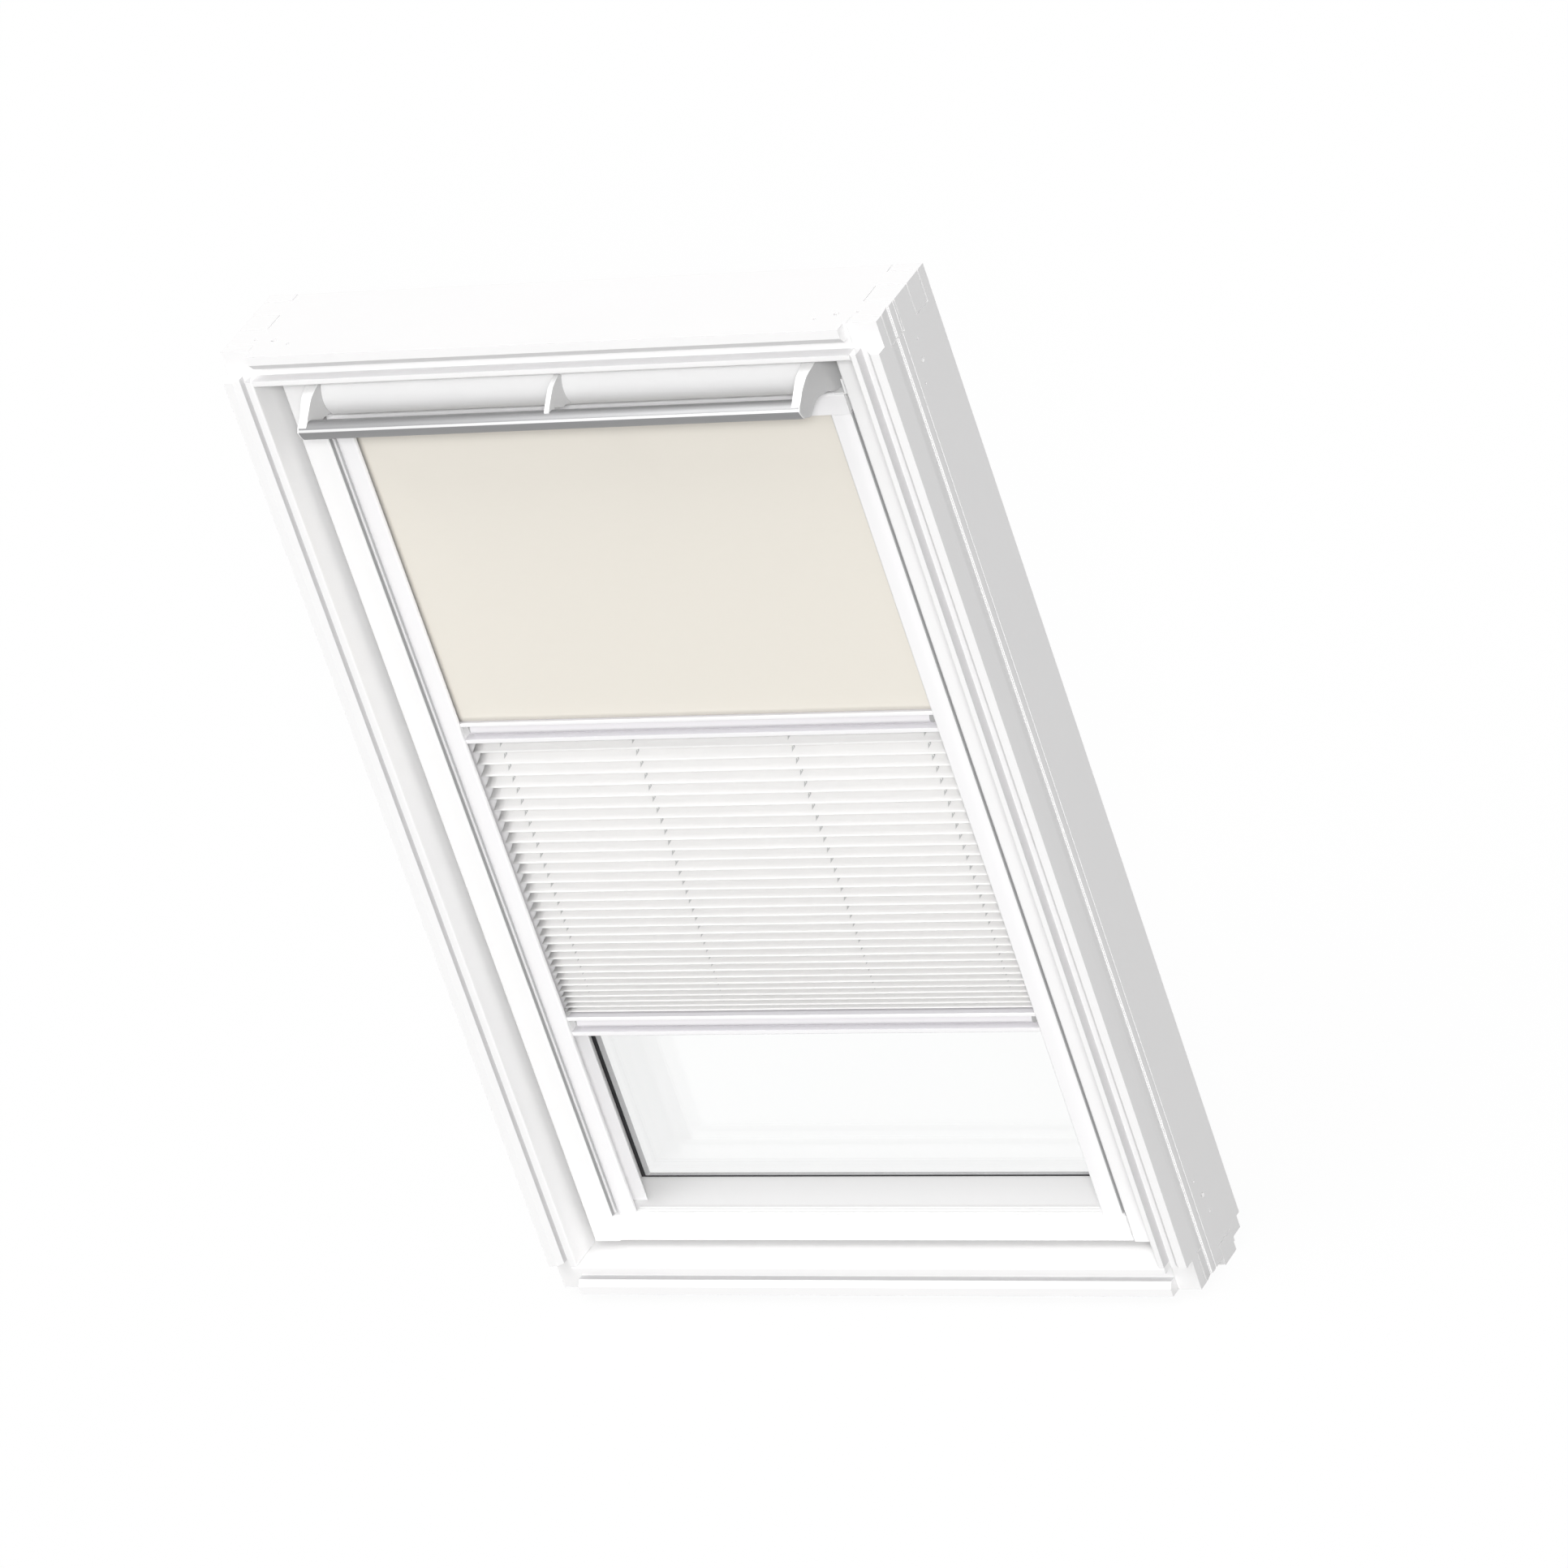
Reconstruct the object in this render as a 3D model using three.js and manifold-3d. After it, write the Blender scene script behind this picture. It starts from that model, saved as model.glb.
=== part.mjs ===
// Centre-pivot roof window with a two-fabric blind in its sash.
// Millimetres. +X is to the right seen from the room, +Y points out through the roof,
// +Z runs up the window. The origin is the middle of the frame's lower edge, on the room side.
import * as THREE from 'three';
import { mergeVertices } from 'three/addons/utils/BufferGeometryUtils.js';
import Module from 'manifold-3d';

const wasm = await Module();
wasm.setup();

// Clearances that the whole model shares
const GAP = 0.3; // between two pieces that rest on each other
const RUNNING_GAP = 0.5; // round a shaft in its hole
const OVERRUN = 4; // how far a cut runs past the piece it cuts
const FILLET_STEPS = 4;
const ROUND_SIDES = 20;
const SMALL_ROUND_SIDES = 12;

// Outer frame of four members
const FRAME_WIDTH = 780;
const FRAME_HEIGHT = 1178;
const FRAME_DEPTH = 127.5;
const SIDE_WALL = 34.7;
const HEAD_WALL = 36.3;
const SILL_WALL = 36.4;
const GROOVE_DEPTH = 13.5; // the lining groove, from the room side
const RIB_SLANT = 6; // depth of the slanted face of the outer rib
const RIB_NOSE = 10; // flat front of the outer rib
const SIDE_RIB = 15.9;
const HEAD_RIB = 17.5;
const SILL_RIB = 15.7;
const SIDE_LIP = 7.6;
const HEAD_LIP = 7.3;
const SILL_LIP = 7.4;
const LIP_ROUND = 2.2;
const SIDE_RIB_TOP_SETBACK = 29.5; // flat corner patch at the head
const HEAD_RIB_SETBACK = 3.8; // the head's rib stops this far inside the side wall
const SILL_HOUSING = 27.5; // the sill is let into the sides up to here
const SILL_DEPTH = 100;
const HORN_START = 72;
const HORN_DROP = 9.8;
const HORN_TONGUE_HEIGHT = 16;
const SILL_TONGUE = { start: 27.6, end: 42 };
const HEAD_TONGUES = [{ start: 26, end: 57 }, { start: 87, end: 114 }];
const REAR_NOTCHES = [{ start: 102.5, height: 4.8 }, { start: 120.5, height: 19 }];
// Shallow steps along the outer face, as [inward, depth] points, each line from one open end to the other
const KERF_LINES = [
  [[0, 30], [2, 42], [1, 42], [1, 43.4], [0, 43.4]],
  [[0, 50.5], [0.5, 53.5], [0, 53.5]],
];
const JOINT_GROOVE = 1.4; // wide and deep, along each seam of the corner joints
const BRACKET_HOLES = [
  { depth: 72, fromEnd: 79.5, radius: 3 },
  { depth: 75.3, fromEnd: 56.5, radius: 1.6 },
  { depth: 63.6, fromEnd: 102.2, radius: 1.6 },
];
const HEAD_HOLES = [
  { fromSide: 55, depth: 33.3, radius: 3 },
  { fromSide: 31.5, depth: 36, radius: 1.6 },
  { fromSide: 76.5, depth: 25, radius: 1.6 },
];
const BRACKET_HOLE_LENGTH = 12;

// Pivot in the middle of the sides
const PIVOT_DEPTH = 75;
const PIVOT_HEIGHT = FRAME_HEIGHT / 2;
const PIVOT_PLATE_WIDTH = 26;
const PIVOT_PLATE_HEIGHT = 90;
const PIVOT_PLATE_THICKNESS = 2.7;
const PIVOT_PIN_RADIUS = 5;
const PIVOT_PIN_END_GAP = 1;
const PIVOT_BOSS_RADIUS = 8.5;
const PIVOT_BOSS_LENGTH = 10;
const SASH_PLATE_THICKNESS = 3;
const SASH_PLATE_MARGIN = 5;

// Weather seals in a groove of the frame
const SEAL_START = 58;
const SEAL_WIDTH = 8;
const SEAL_GROOVE = 3;
const SEAL_SIDE_CLEARANCE = 0.6;
const LOWER_SEAL_STAND = 7.2;
const UPPER_SEAL_STAND = 6.9;
const SEAL_PIVOT_DISTANCE = 110;

// Sash
const SASH_FRONT = 35;
const SASH_BACK = 120;
const SASH_SIDE_GAP = 8.3;
const SASH_SILL_GAP = 9.1;
const SASH_HEAD_GAP = 9.2;
const SASH_SIDE_WIDTH = 32.8;
const SASH_RAIL_HEIGHT = 31.5;
const SASH_HEAD_FRONT = 68;
const SASH_ROUND = 3;
const REBATE_START = 111;
const REBATE_WIDTH = 16.8;

// Glazing
const PANE_THICKNESS = 4;
const PANE_SPACING = 10;
const GASKET_WIDTH = 5;
const GASKET_SILL_WIDTH = 1.4;
const GASKET_THICKNESS = 1.2;
const SPACER_INSET = 7; // from the glass edge
const SPACER_SILL_INSET = 1;
const SPACER_WIDTH = 12;
const COVER_SHEET = 2;
const COVER_INSET = 5;
const COVER_WIDTH = 26;
const COVER_SILL_WIDTH = 14;

// Latch in the head of the sash
const LOCK_WIDTH = 80;
const LOCK_BOTTOM = 5;
const LOCK_HEIGHT = 23;
const LOCK_DEPTH = 26;
const LOCK_WALL = 2.5;
const BOLT_WIDTH = 20;
const BOLT_FOOT_WIDTH = 32;
const BOLT_FOOT_HEIGHT = 3;
const BOLT_DEPTH = 12;
const BOLT_START = 76;
const BOLT_FOOT_LEVEL = 15; // above the lower edge of the head rail
const BOLT_TIP_GAP = 0.8; // below the strike plate
const BOLT_BEVEL = 4;
const STRIKE_WIDTH = 50;
const STRIKE_DEPTH = 30;
const STRIKE_THICKNESS = 2.4;
const STRIKE_SLOT_MARGIN = 1;

// Ventilation flap that turns as a drum, and the control bar in front of it
const DRUM_DEPTH = 42;
const DRUM_BELOW_HEAD = 27.7; // below the frame's reveal at the head
const DRUM_RADIUS = 28;
const FLAP_THICKNESS = 2.5;
const FLAP_STEPS = 14;
const FLAP_START = THREE.MathUtils.degToRad(134);
const FLAP_END = THREE.MathUtils.degToRad(232);
const FLAP_END_INSET = 26.2; // inside the sash opening
const ARM_THICKNESS = 9;
const ARM_CAP = 1.5;
const ARM_REACH = 74; // drum axis to the nose of the bar
const FIN_THICKNESS = 6;
const ARM_TOP_SHARES = [
  [0.149, -0.041], [0.108, 0.135], [0, 0.236], [-0.162, 0.25], [-0.311, 0.219],
  [-0.499, 0.178], [-0.635, 0.134], [-0.781, 0.057], [-0.895, -0.030], [-0.949, -0.073],
];
const ARM_NOSE_SHARES = [
  [-0.995, -0.135], [-0.980, -0.189], [-0.946, -0.254], [-0.793, -0.354], [-0.749, -0.349],
];
const ARM_ARCH_SHARES = [
  [-0.684, -0.286], [-0.618, -0.236], [-0.527, -0.203], [-0.412, -0.208], [-0.269, -0.250],
  [-0.154, -0.314], [-0.034, -0.365], [0.149, -0.365],
];
const FIN_TOP_SHARES = [[-0.311, 0.219], [-0.499, 0.178], [-0.635, 0.134], [-0.781, 0.057], [-0.890, -0.026]];
const FIN_FOOT_SHARES = [
  [-0.890, -0.100], [-0.740, -0.090], [-0.709, -0.062], [-0.610, -0.120], [-0.530, -0.172], [-0.455, -0.178],
];
const FIN_FLAP_START = THREE.MathUtils.degToRad(146);
const FIN_FLAP_END = THREE.MathUtils.degToRad(218);
const FIN_FLAP_STEPS = 8;
const BAR_OUTLINE_SHARES = [
  [-0.730, -0.034], [-0.751, -0.042], [-0.863, -0.042], [-0.936, -0.057], [-0.973, -0.095],
  [-1, -0.131], [-0.981, -0.177], [-0.945, -0.251], [-0.926, -0.277], [-0.757, -0.324],
];
const BAR_HOLLOW_SHARES = [
  [-0.765, -0.075], [-0.860, -0.075], [-0.926, -0.088], [-0.966, -0.134], [-0.918, -0.240],
  [-0.790, -0.278],
];
const ARM_TIP_SHARE = 0.73; // the arm's end cap starts this far from the drum axis
const ROD_RADIUS = 3;
const ROD_HOLE_DEPTH = 7;
const LUG_THICKNESS = 8;
const LUG_HEIGHT = 12;
const LUG_NOSE = 6; // ahead of the drum axis
const LUG_FROM_ARM = 4;
const FILTER_DEPTH = 15;
const FILTER_HEIGHT = 10;
const FILTER_OVER_LUG = 1;
const FILTER_END_MARGIN = 26;

// Blind: side rails and casing
const BLIND_FRONT = 38;
const BLIND_SIDE_GAP = 5.3;
const RAIL_WIDTH = 23.5;
const RAIL_DEPTH = 30;
const RAIL_FRONT_WALL = 2.6;
const RAIL_BACK_WALL = 2;
const RAIL_SIDE_WALL = 6;
const RAIL_ROUND = 4;
const RAIL_INNER_ROUND = 2;
const RAIL_FLANGE = { start: 50, sheet: 1.5, fold: 6 };
const CASING_TOP_DROP = 18; // below the sash opening's upper edge
const CASING_HEIGHT = 24.5;
const CASING_WALL = 2;
const CASING_ROUND = 3;
const CASING_SLOT = { start: 4.5, end: 9.5 };
const CAP_LENGTH = 8.6;
const CLIP_SHEET = 2;
const CLIP_FOOT = 14;
const CLIP_DEPTH = 20;

// Roller in the casing
const ROLLER_RADIUS = 9.2;
const ROLLER_BORE = 7.6;
const ROLLER_END_GAP = 10.3; // to the casing's end cap
const ROLLER_PLUG_LENGTH = 14;
const ROLLER_PIN_RADIUS = 3;
const ROLLER_PIN_END_GAP = 1;

// Fabrics and their rails
const SLIDING_RAIL_DEPTH = 22.5;
const SLIDING_RAIL_SETBACK = 3.5; // behind the blind's front
const SLIDING_RAIL_ROUND = 1.5;
const HANDLE_LIP_TOP = 4.6;
const HANDLE_LIP_BOTTOM = 4;
const HANDLE_RECESS = 4.5;
const RAIL_HOLLOW_WALL = 2.5;
const MIDDLE_RAIL_HEIGHT = 25.1;
const MIDDLE_RAIL_RISE = 599.5; // above the sash opening's lower edge
const BOTTOM_RAIL_HEIGHT = 23.7;
const BOTTOM_RAIL_RISE = 229.5;
const GLIDE_LENGTH = 15;
const GLIDE_MARGIN = 1.5;
const FABRIC_THICKNESS = 0.8;
const FABRIC_IN_RAIL = 2; // how far the fabrics reach into the side rails
const PLEAT_THICKNESS = 0.4;
const PLEAT_DEPTH = 16;
const PLEAT_SETBACK = 10; // front folds behind the blind's front
const PLEAT_COUNT = 31;
const PLEAT_LAST_SHARE = 0.4; // last pitch over the first
const PLEAT_BEND = 1.35; // how the pitch falls from the first fold to the last
const PLEAT_FOOT = 2.9;
const SILL_STRIP_WIDTH = 12;
const SILL_STRIP_HEIGHT = 3;
const SILL_STRIP_SETBACK = 1;
const SILL_STRIP_GROOVES = [3.5, 8];
const SILL_STRIP_GROOVE_WIDTH = 1;
const SILL_STRIP_GROOVE_DEPTH = 0.8;

// Places worked out from the sizes above
const HALF_WIDTH = FRAME_WIDTH / 2;
const REVEAL_X = HALF_WIDTH - SIDE_WALL;
const REVEAL_TOP = FRAME_HEIGHT - HEAD_WALL;
const SILL_HALF = HALF_WIDTH - SILL_HOUSING;
const SASH_X = REVEAL_X - SASH_SIDE_GAP;
const SASH_BOTTOM = SILL_WALL + SASH_SILL_GAP;
const SASH_TOP = REVEAL_TOP - SASH_HEAD_GAP;
const OPENING_X = SASH_X - SASH_SIDE_WIDTH;
const OPENING_BOTTOM = SASH_BOTTOM + SASH_RAIL_HEIGHT;
const OPENING_TOP = SASH_TOP - SASH_RAIL_HEIGHT;
const GLASS_X = OPENING_X + REBATE_WIDTH - GAP;
const GLASS_BOTTOM = OPENING_BOTTOM - REBATE_WIDTH + GAP;
const GLASS_TOP = OPENING_TOP + REBATE_WIDTH - GAP;
const DRUM_HEIGHT = REVEAL_TOP - DRUM_BELOW_HEAD;
const FLAP_HALF = OPENING_X - FLAP_END_INSET;
const ARM_INNER = FLAP_HALF + GAP;
const ARM_OUTER = ARM_INNER + ARM_THICKNESS;
const BLIND_X = OPENING_X - BLIND_SIDE_GAP;
const BLIND_INNER_X = BLIND_X - RAIL_WIDTH;
const BLIND_BACK = BLIND_FRONT + RAIL_DEPTH;
const CASING_TOP = OPENING_TOP - CASING_TOP_DROP;
const CASING_BOTTOM = CASING_TOP - CASING_HEIGHT;
const RAIL_BOTTOM = OPENING_BOTTOM + GAP;
const MIDDLE_RAIL_LEVEL = OPENING_BOTTOM + MIDDLE_RAIL_RISE;
const BOTTOM_RAIL_LEVEL = OPENING_BOTTOM + BOTTOM_RAIL_RISE;
const FABRIC_X = BLIND_INNER_X + FABRIC_IN_RAIL;
const ROLLER_HALF = BLIND_X - CAP_LENGTH - ROLLER_END_GAP;
const ROLLER_HEIGHT = CASING_BOTTOM + CASING_HEIGHT / 2;
const ROLLER_DEPTH = BLIND_BACK - RAIL_BACK_WALL - GAP - ROLLER_RADIUS - GAP;
const STRIKE_LEVEL = REVEAL_TOP - GAP - STRIKE_THICKNESS;
const BOLT_TIP = STRIKE_LEVEL - BOLT_TIP_GAP;
const SLIDING_RAIL_HALF = BLIND_INNER_X - GAP;
const SLIDING_RAIL_FRONT = BLIND_FRONT + SLIDING_RAIL_SETBACK;

// Finishes
const finish = (color, roughness, metalness, rest = {}) =>
  new THREE.MeshStandardMaterial({ color, roughness, metalness, flatShading: true, ...rest });
const whitePaint = finish(0xf7f7f6, 0.4, 0);
const whiteSteel = finish(0xf3f3f4, 0.35, 0.1);
const whitePlastic = finish(0xf4f4f3, 0.45, 0);
const aluminium = finish(0xb9babb, 0.35, 0.85);
const steel = finish(0xa9abad, 0.3, 0.9);
const greyCladding = finish(0x5b5f62, 0.5, 0.4);
const darkRubber = finish(0x2d2e30, 0.8, 0);
const foam = finish(0x77797a, 0.95, 0);
const glass = finish(0xeaf2f1, 0.05, 0, { transparent: true, opacity: 0.25 });
const blackoutCloth = finish(0xe8e5db, 0.9, 0);
const pleatedCloth = finish(0xf6f5f2, 0.9, 0);

// Shapes
const AXIS_TURNS = {
  x: new THREE.Matrix4().makeBasis(
    new THREE.Vector3(0, 1, 0), new THREE.Vector3(0, 0, 1), new THREE.Vector3(1, 0, 0)),
  y: new THREE.Matrix4().makeBasis(
    new THREE.Vector3(0, 0, 1), new THREE.Vector3(1, 0, 0), new THREE.Vector3(0, 1, 0)),
  z: new THREE.Matrix4(),
};

// An outline of [y, z] points along x, [z, x] along y or [x, y] along z, as a prism
function prism(axis, outline, low, high, holes = []) {
  const shape = new THREE.Shape(outline.map(([a, b]) => new THREE.Vector2(a, b)));
  for (const hole of holes) {
    shape.holes.push(new THREE.Path(hole.map(([a, b]) => new THREE.Vector2(a, b))));
  }
  const geometry = new THREE.ExtrudeGeometry(shape, { depth: high - low, bevelEnabled: false });
  geometry.translate(0, 0, low);
  return geometry.applyMatrix4(AXIS_TURNS[axis]);
}

function box([x0, x1], [y0, y1], [z0, z1]) {
  const geometry = new THREE.BoxGeometry(Math.abs(x1 - x0), Math.abs(y1 - y0), Math.abs(z1 - z0));
  return geometry.translate((x0 + x1) / 2, (y0 + y1) / 2, (z0 + z1) / 2);
}

function circle(a, b, radius, sides = ROUND_SIDES) {
  return Array.from({ length: sides }, (_, i) => {
    const angle = 2 * Math.PI * i / sides;
    return [a + radius * Math.cos(angle), b + radius * Math.sin(angle)];
  });
}

function arc(a, b, radius, start, end, steps) {
  return Array.from({ length: steps + 1 }, (_, i) => {
    const angle = start + (end - start) * i / steps;
    return [a + radius * Math.cos(angle), b + radius * Math.sin(angle)];
  });
}

// Rounds each outline point that has a third value, the radius
function filleted(points) {
  return points.flatMap(([a, b, radius = 0], i) => {
    if (radius === 0) return [[a, b]];
    const here = new THREE.Vector2(a, b);
    const [beforeA, beforeB] = points.at(i - 1);
    const [afterA, afterB] = points[(i + 1) % points.length];
    const before = new THREE.Vector2(beforeA, beforeB).sub(here).normalize();
    const after = new THREE.Vector2(afterA, afterB).sub(here).normalize();
    const half = Math.acos(before.dot(after)) / 2;
    const centre = before.clone().add(after).normalize().multiplyScalar(radius / Math.sin(half)).add(here);
    const first = before.clone().multiplyScalar(radius / Math.tan(half)).add(here).sub(centre);
    const last = after.clone().multiplyScalar(radius / Math.tan(half)).add(here).sub(centre);
    const turn = Math.PI - 2 * half;
    return Array.from({ length: FILLET_STEPS + 1 }, (_, k) => {
      const near = Math.sin((1 - k / FILLET_STEPS) * turn) / Math.sin(turn);
      const far = Math.sin(k / FILLET_STEPS * turn) / Math.sin(turn);
      return [centre.x + near * first.x + far * last.x, centre.y + near * first.y + far * last.y];
    });
  });
}

function toSolid(geometry) {
  const bare = geometry.clone();
  bare.deleteAttribute('normal');
  bare.deleteAttribute('uv');
  const merged = mergeVertices(bare);
  return new wasm.Manifold(new wasm.Mesh({
    numProp: 3,
    vertProperties: merged.attributes.position.array,
    triVerts: merged.index.array,
  }));
}

function toGeometry(solid) {
  const mesh = solid.getMesh();
  const geometry = new THREE.BufferGeometry();
  geometry.setAttribute('position', new THREE.BufferAttribute(mesh.vertProperties, 3));
  return geometry.setIndex(new THREE.BufferAttribute(mesh.triVerts, 1));
}

const join = (...parts) => toGeometry(parts.map(toSolid).reduce((all, part) => all.add(part)));
const cut = (body, ...tools) =>
  toGeometry(tools.map(toSolid).reduce((left, tool) => left.subtract(tool), toSolid(body)));

const model = new THREE.Group();
function addPiece(name, geometry, material) {
  const mesh = new THREE.Mesh(geometry, material);
  mesh.name = name;
  model.add(mesh);
}

// side is -1 for the left and 1 for the right
const bothSides = (make) => [['left', -1], ['right', 1]].forEach(([word, side]) => make(word, side));
const span = (side, a, b) => [side * a, side * b].sort((p, q) => p - q);

// Frame: rib, lining groove and lip, from the outer face inwards
function frameProfile(wall, rib, lip, depth) {
  return filleted([
    [0, 0], [RIB_NOSE, 0], [rib, RIB_SLANT], [rib, GROOVE_DEPTH], [wall - lip, GROOVE_DEPTH],
    [wall - lip, 0], [wall, 0, LIP_ROUND], [wall, depth], [0, depth],
  ]);
}

function sealGroove(side) {
  const reach = [REVEAL_X - OVERRUN, REVEAL_X + SEAL_GROOVE];
  return box(span(side, ...reach), [SEAL_START, SEAL_START + SEAL_WIDTH], [-OVERRUN, REVEAL_TOP + SEAL_GROOVE]);
}

function kerf(side, line) {
  const open = [line.at(-1), line[0]].map(([, depth]) => [-OVERRUN, depth]);
  const outline = [...line, ...open].map(([inward, depth]) => [side * (HALF_WIDTH - inward), depth]);
  return prism('z', outline, -OVERRUN, FRAME_HEIGHT + OVERRUN);
}

const kerfs = () => [-1, 1].flatMap((side) => KERF_LINES.map((line) => kerf(side, line)));
const seam = (place) => [place - JOINT_GROOVE / 2, place + JOINT_GROOVE / 2];

// Small grooves where the tongues of the head meet the sides, on the top and on the outer faces
function headJointGrooves() {
  const topSkin = [FRAME_HEIGHT - JOINT_GROOVE, FRAME_HEIGHT + OVERRUN];
  const edges = HEAD_TONGUES.flatMap(({ start, end }) => [start, end]);
  const fingers = [...edges.slice(1), FRAME_DEPTH].map((end, i) => [edges[i], end]);
  return [-1, 1].flatMap((side) => {
    const outerSkin = span(side, HALF_WIDTH - JOINT_GROOVE, HALF_WIDTH + OVERRUN);
    return [
      ...edges.flatMap((edge) => [
        box(span(side, REVEAL_X, HALF_WIDTH + OVERRUN), seam(edge), topSkin),
        box(outerSkin, seam(edge), [REVEAL_TOP, FRAME_HEIGHT + OVERRUN]),
      ]),
      ...HEAD_TONGUES.map(({ start, end }) => box(outerSkin, [start, end], seam(REVEAL_TOP))),
      ...fingers.filter((finger, i) => i % 2 === 1)
        .map((finger) => box(span(side, ...seam(REVEAL_X)), finger, topSkin)),
    ];
  });
}

// The same where the sill's tongues meet the sides, on the outer faces only
function sillJointGrooves() {
  const tongues = [{ ...SILL_TONGUE, top: SILL_WALL }, { start: HORN_START, end: SILL_DEPTH, top: HORN_TONGUE_HEIGHT }];
  return [-1, 1].flatMap((side) => {
    const outerSkin = span(side, HALF_WIDTH - JOINT_GROOVE, HALF_WIDTH + OVERRUN);
    return [
      ...tongues.map(({ start, end, top }) => box(outerSkin, [start, end], seam(top))),
      ...[SILL_TONGUE.start, SILL_TONGUE.end].map((edge) => box(outerSkin, seam(edge), [-OVERRUN, SILL_WALL])),
    ];
  });
}

function frameSide(side) {
  const outline = frameProfile(SIDE_WALL, SIDE_RIB, SIDE_LIP, FRAME_DEPTH)
    .map(([inward, depth]) => [side * (HALF_WIDTH - inward), depth]);
  const across = span(side, REVEAL_X - OVERRUN, HALF_WIDTH + OVERRUN);
  const patch = [-OVERRUN, GROOVE_DEPTH];
  const above = FRAME_HEIGHT + OVERRUN;
  const tools = [
    box(across, patch, [FRAME_HEIGHT - SIDE_RIB_TOP_SETBACK, above]),
    box(across, patch, [-OVERRUN, SILL_WALL + GAP]),
    box(span(side, REVEAL_X - OVERRUN, SILL_HALF + GAP), [-OVERRUN, SILL_DEPTH + GAP],
      [-OVERRUN, SILL_WALL + GAP]),
    box(across, [SILL_TONGUE.start, SILL_TONGUE.end], [-OVERRUN, SILL_WALL + GAP]),
    box(across, [HORN_START, SILL_DEPTH + GAP], [-OVERRUN, HORN_TONGUE_HEIGHT + GAP]),
    ...REAR_NOTCHES.map(({ start, height }) =>
      box(across, [start, FRAME_DEPTH + OVERRUN], [-OVERRUN, height])),
    ...HEAD_TONGUES.map(({ start, end }) => box(across, [start, end], [REVEAL_TOP, above])),
    ...KERF_LINES.map((line) => kerf(side, line)),
    sealGroove(side),
  ];
  const holes = BRACKET_HOLES.flatMap(({ depth, fromEnd, radius }) =>
    [fromEnd, FRAME_HEIGHT - fromEnd].map((height) => prism('x',
      circle(depth, height, radius, SMALL_ROUND_SIDES),
      ...span(side, HALF_WIDTH - BRACKET_HOLE_LENGTH, HALF_WIDTH + OVERRUN))));
  return cut(prism('z', outline, 0, FRAME_HEIGHT), ...tools, ...holes, ...headJointGrooves(),
    ...sillJointGrooves());
}

function frameHead() {
  const half = REVEAL_X - GAP;
  const outline = frameProfile(HEAD_WALL, HEAD_RIB, HEAD_LIP, FRAME_DEPTH)
    .map(([inward, depth]) => [depth, FRAME_HEIGHT - inward]);
  const tongues = HEAD_TONGUES.map(({ start, end }) =>
    box([-HALF_WIDTH, HALF_WIDTH], [start + GAP, end - GAP], [REVEAL_TOP + GAP, FRAME_HEIGHT]));
  const ribEnds = [-1, 1].map((side) => box(span(side, REVEAL_X - HEAD_RIB_SETBACK, HALF_WIDTH),
    [-OVERRUN, GROOVE_DEPTH], [REVEAL_TOP + HEAD_LIP, FRAME_HEIGHT + OVERRUN]));
  const holes = HEAD_HOLES.flatMap(({ fromSide, depth, radius }) => [-1, 1].map((side) => prism('z',
    circle(side * (HALF_WIDTH - fromSide), depth, radius, SMALL_ROUND_SIDES),
    FRAME_HEIGHT - BRACKET_HOLE_LENGTH, FRAME_HEIGHT + OVERRUN)));
  const groove = box([-HALF_WIDTH, HALF_WIDTH], [SEAL_START, SEAL_START + SEAL_WIDTH],
    [REVEAL_TOP - OVERRUN, REVEAL_TOP + SEAL_GROOVE]);
  return cut(join(prism('x', outline, -half, half), ...tongues), ...ribEnds, ...holes, groove,
    ...headJointGrooves(), ...kerfs());
}

function frameSill() {
  const outline = frameProfile(SILL_WALL, SILL_RIB, SILL_LIP, SILL_DEPTH)
    .map(([inward, depth]) => [depth, inward]);
  const body = prism('x', outline, -SILL_HALF, SILL_HALF);
  const tongue = box([-HALF_WIDTH, HALF_WIDTH], [SILL_TONGUE.start + GAP, SILL_TONGUE.end - GAP], [0, SILL_WALL]);
  const horn = box([-HALF_WIDTH, HALF_WIDTH], [HORN_START + GAP, SILL_DEPTH], [-HORN_DROP, HORN_TONGUE_HEIGHT]);
  const groove = box([-HALF_WIDTH, HALF_WIDTH], [SEAL_START, SEAL_START + SEAL_WIDTH],
    [SILL_WALL - SEAL_GROOVE, SILL_WALL + OVERRUN]);
  return cut(join(body, tongue, horn), groove, ...sillJointGrooves(), ...kerfs());
}

// Each seal is a U whose two ends stop short of the pivots
function sealOutline(outer, inner, end) {
  const half = REVEAL_X + SEAL_GROOVE - GAP;
  const innerHalf = SASH_X + SEAL_SIDE_CLEARANCE;
  return [
    [end, -half], [outer, -half], [outer, half], [end, half],
    [end, innerHalf], [inner, innerHalf], [inner, -innerHalf], [end, -innerHalf],
  ];
}

function makeFrame() {
  bothSides((word, side) => addPiece(`frame_side_${word}`, frameSide(side), whitePaint));
  addPiece('frame_head', frameHead(), whitePaint);
  addPiece('frame_sill', frameSill(), whitePaint);
  const seals = {
    lower_seal: sealOutline(SILL_WALL - SEAL_GROOVE + GAP, SILL_WALL + LOWER_SEAL_STAND,
      PIVOT_HEIGHT - SEAL_PIVOT_DISTANCE),
    upper_seal: sealOutline(REVEAL_TOP + SEAL_GROOVE - GAP, REVEAL_TOP - UPPER_SEAL_STAND,
      PIVOT_HEIGHT + SEAL_PIVOT_DISTANCE),
  };
  for (const [name, outline] of Object.entries(seals)) {
    addPiece(name, prism('y', outline, SEAL_START + GAP, SEAL_START + SEAL_WIDTH - GAP), darkRubber);
  }
}

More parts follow.
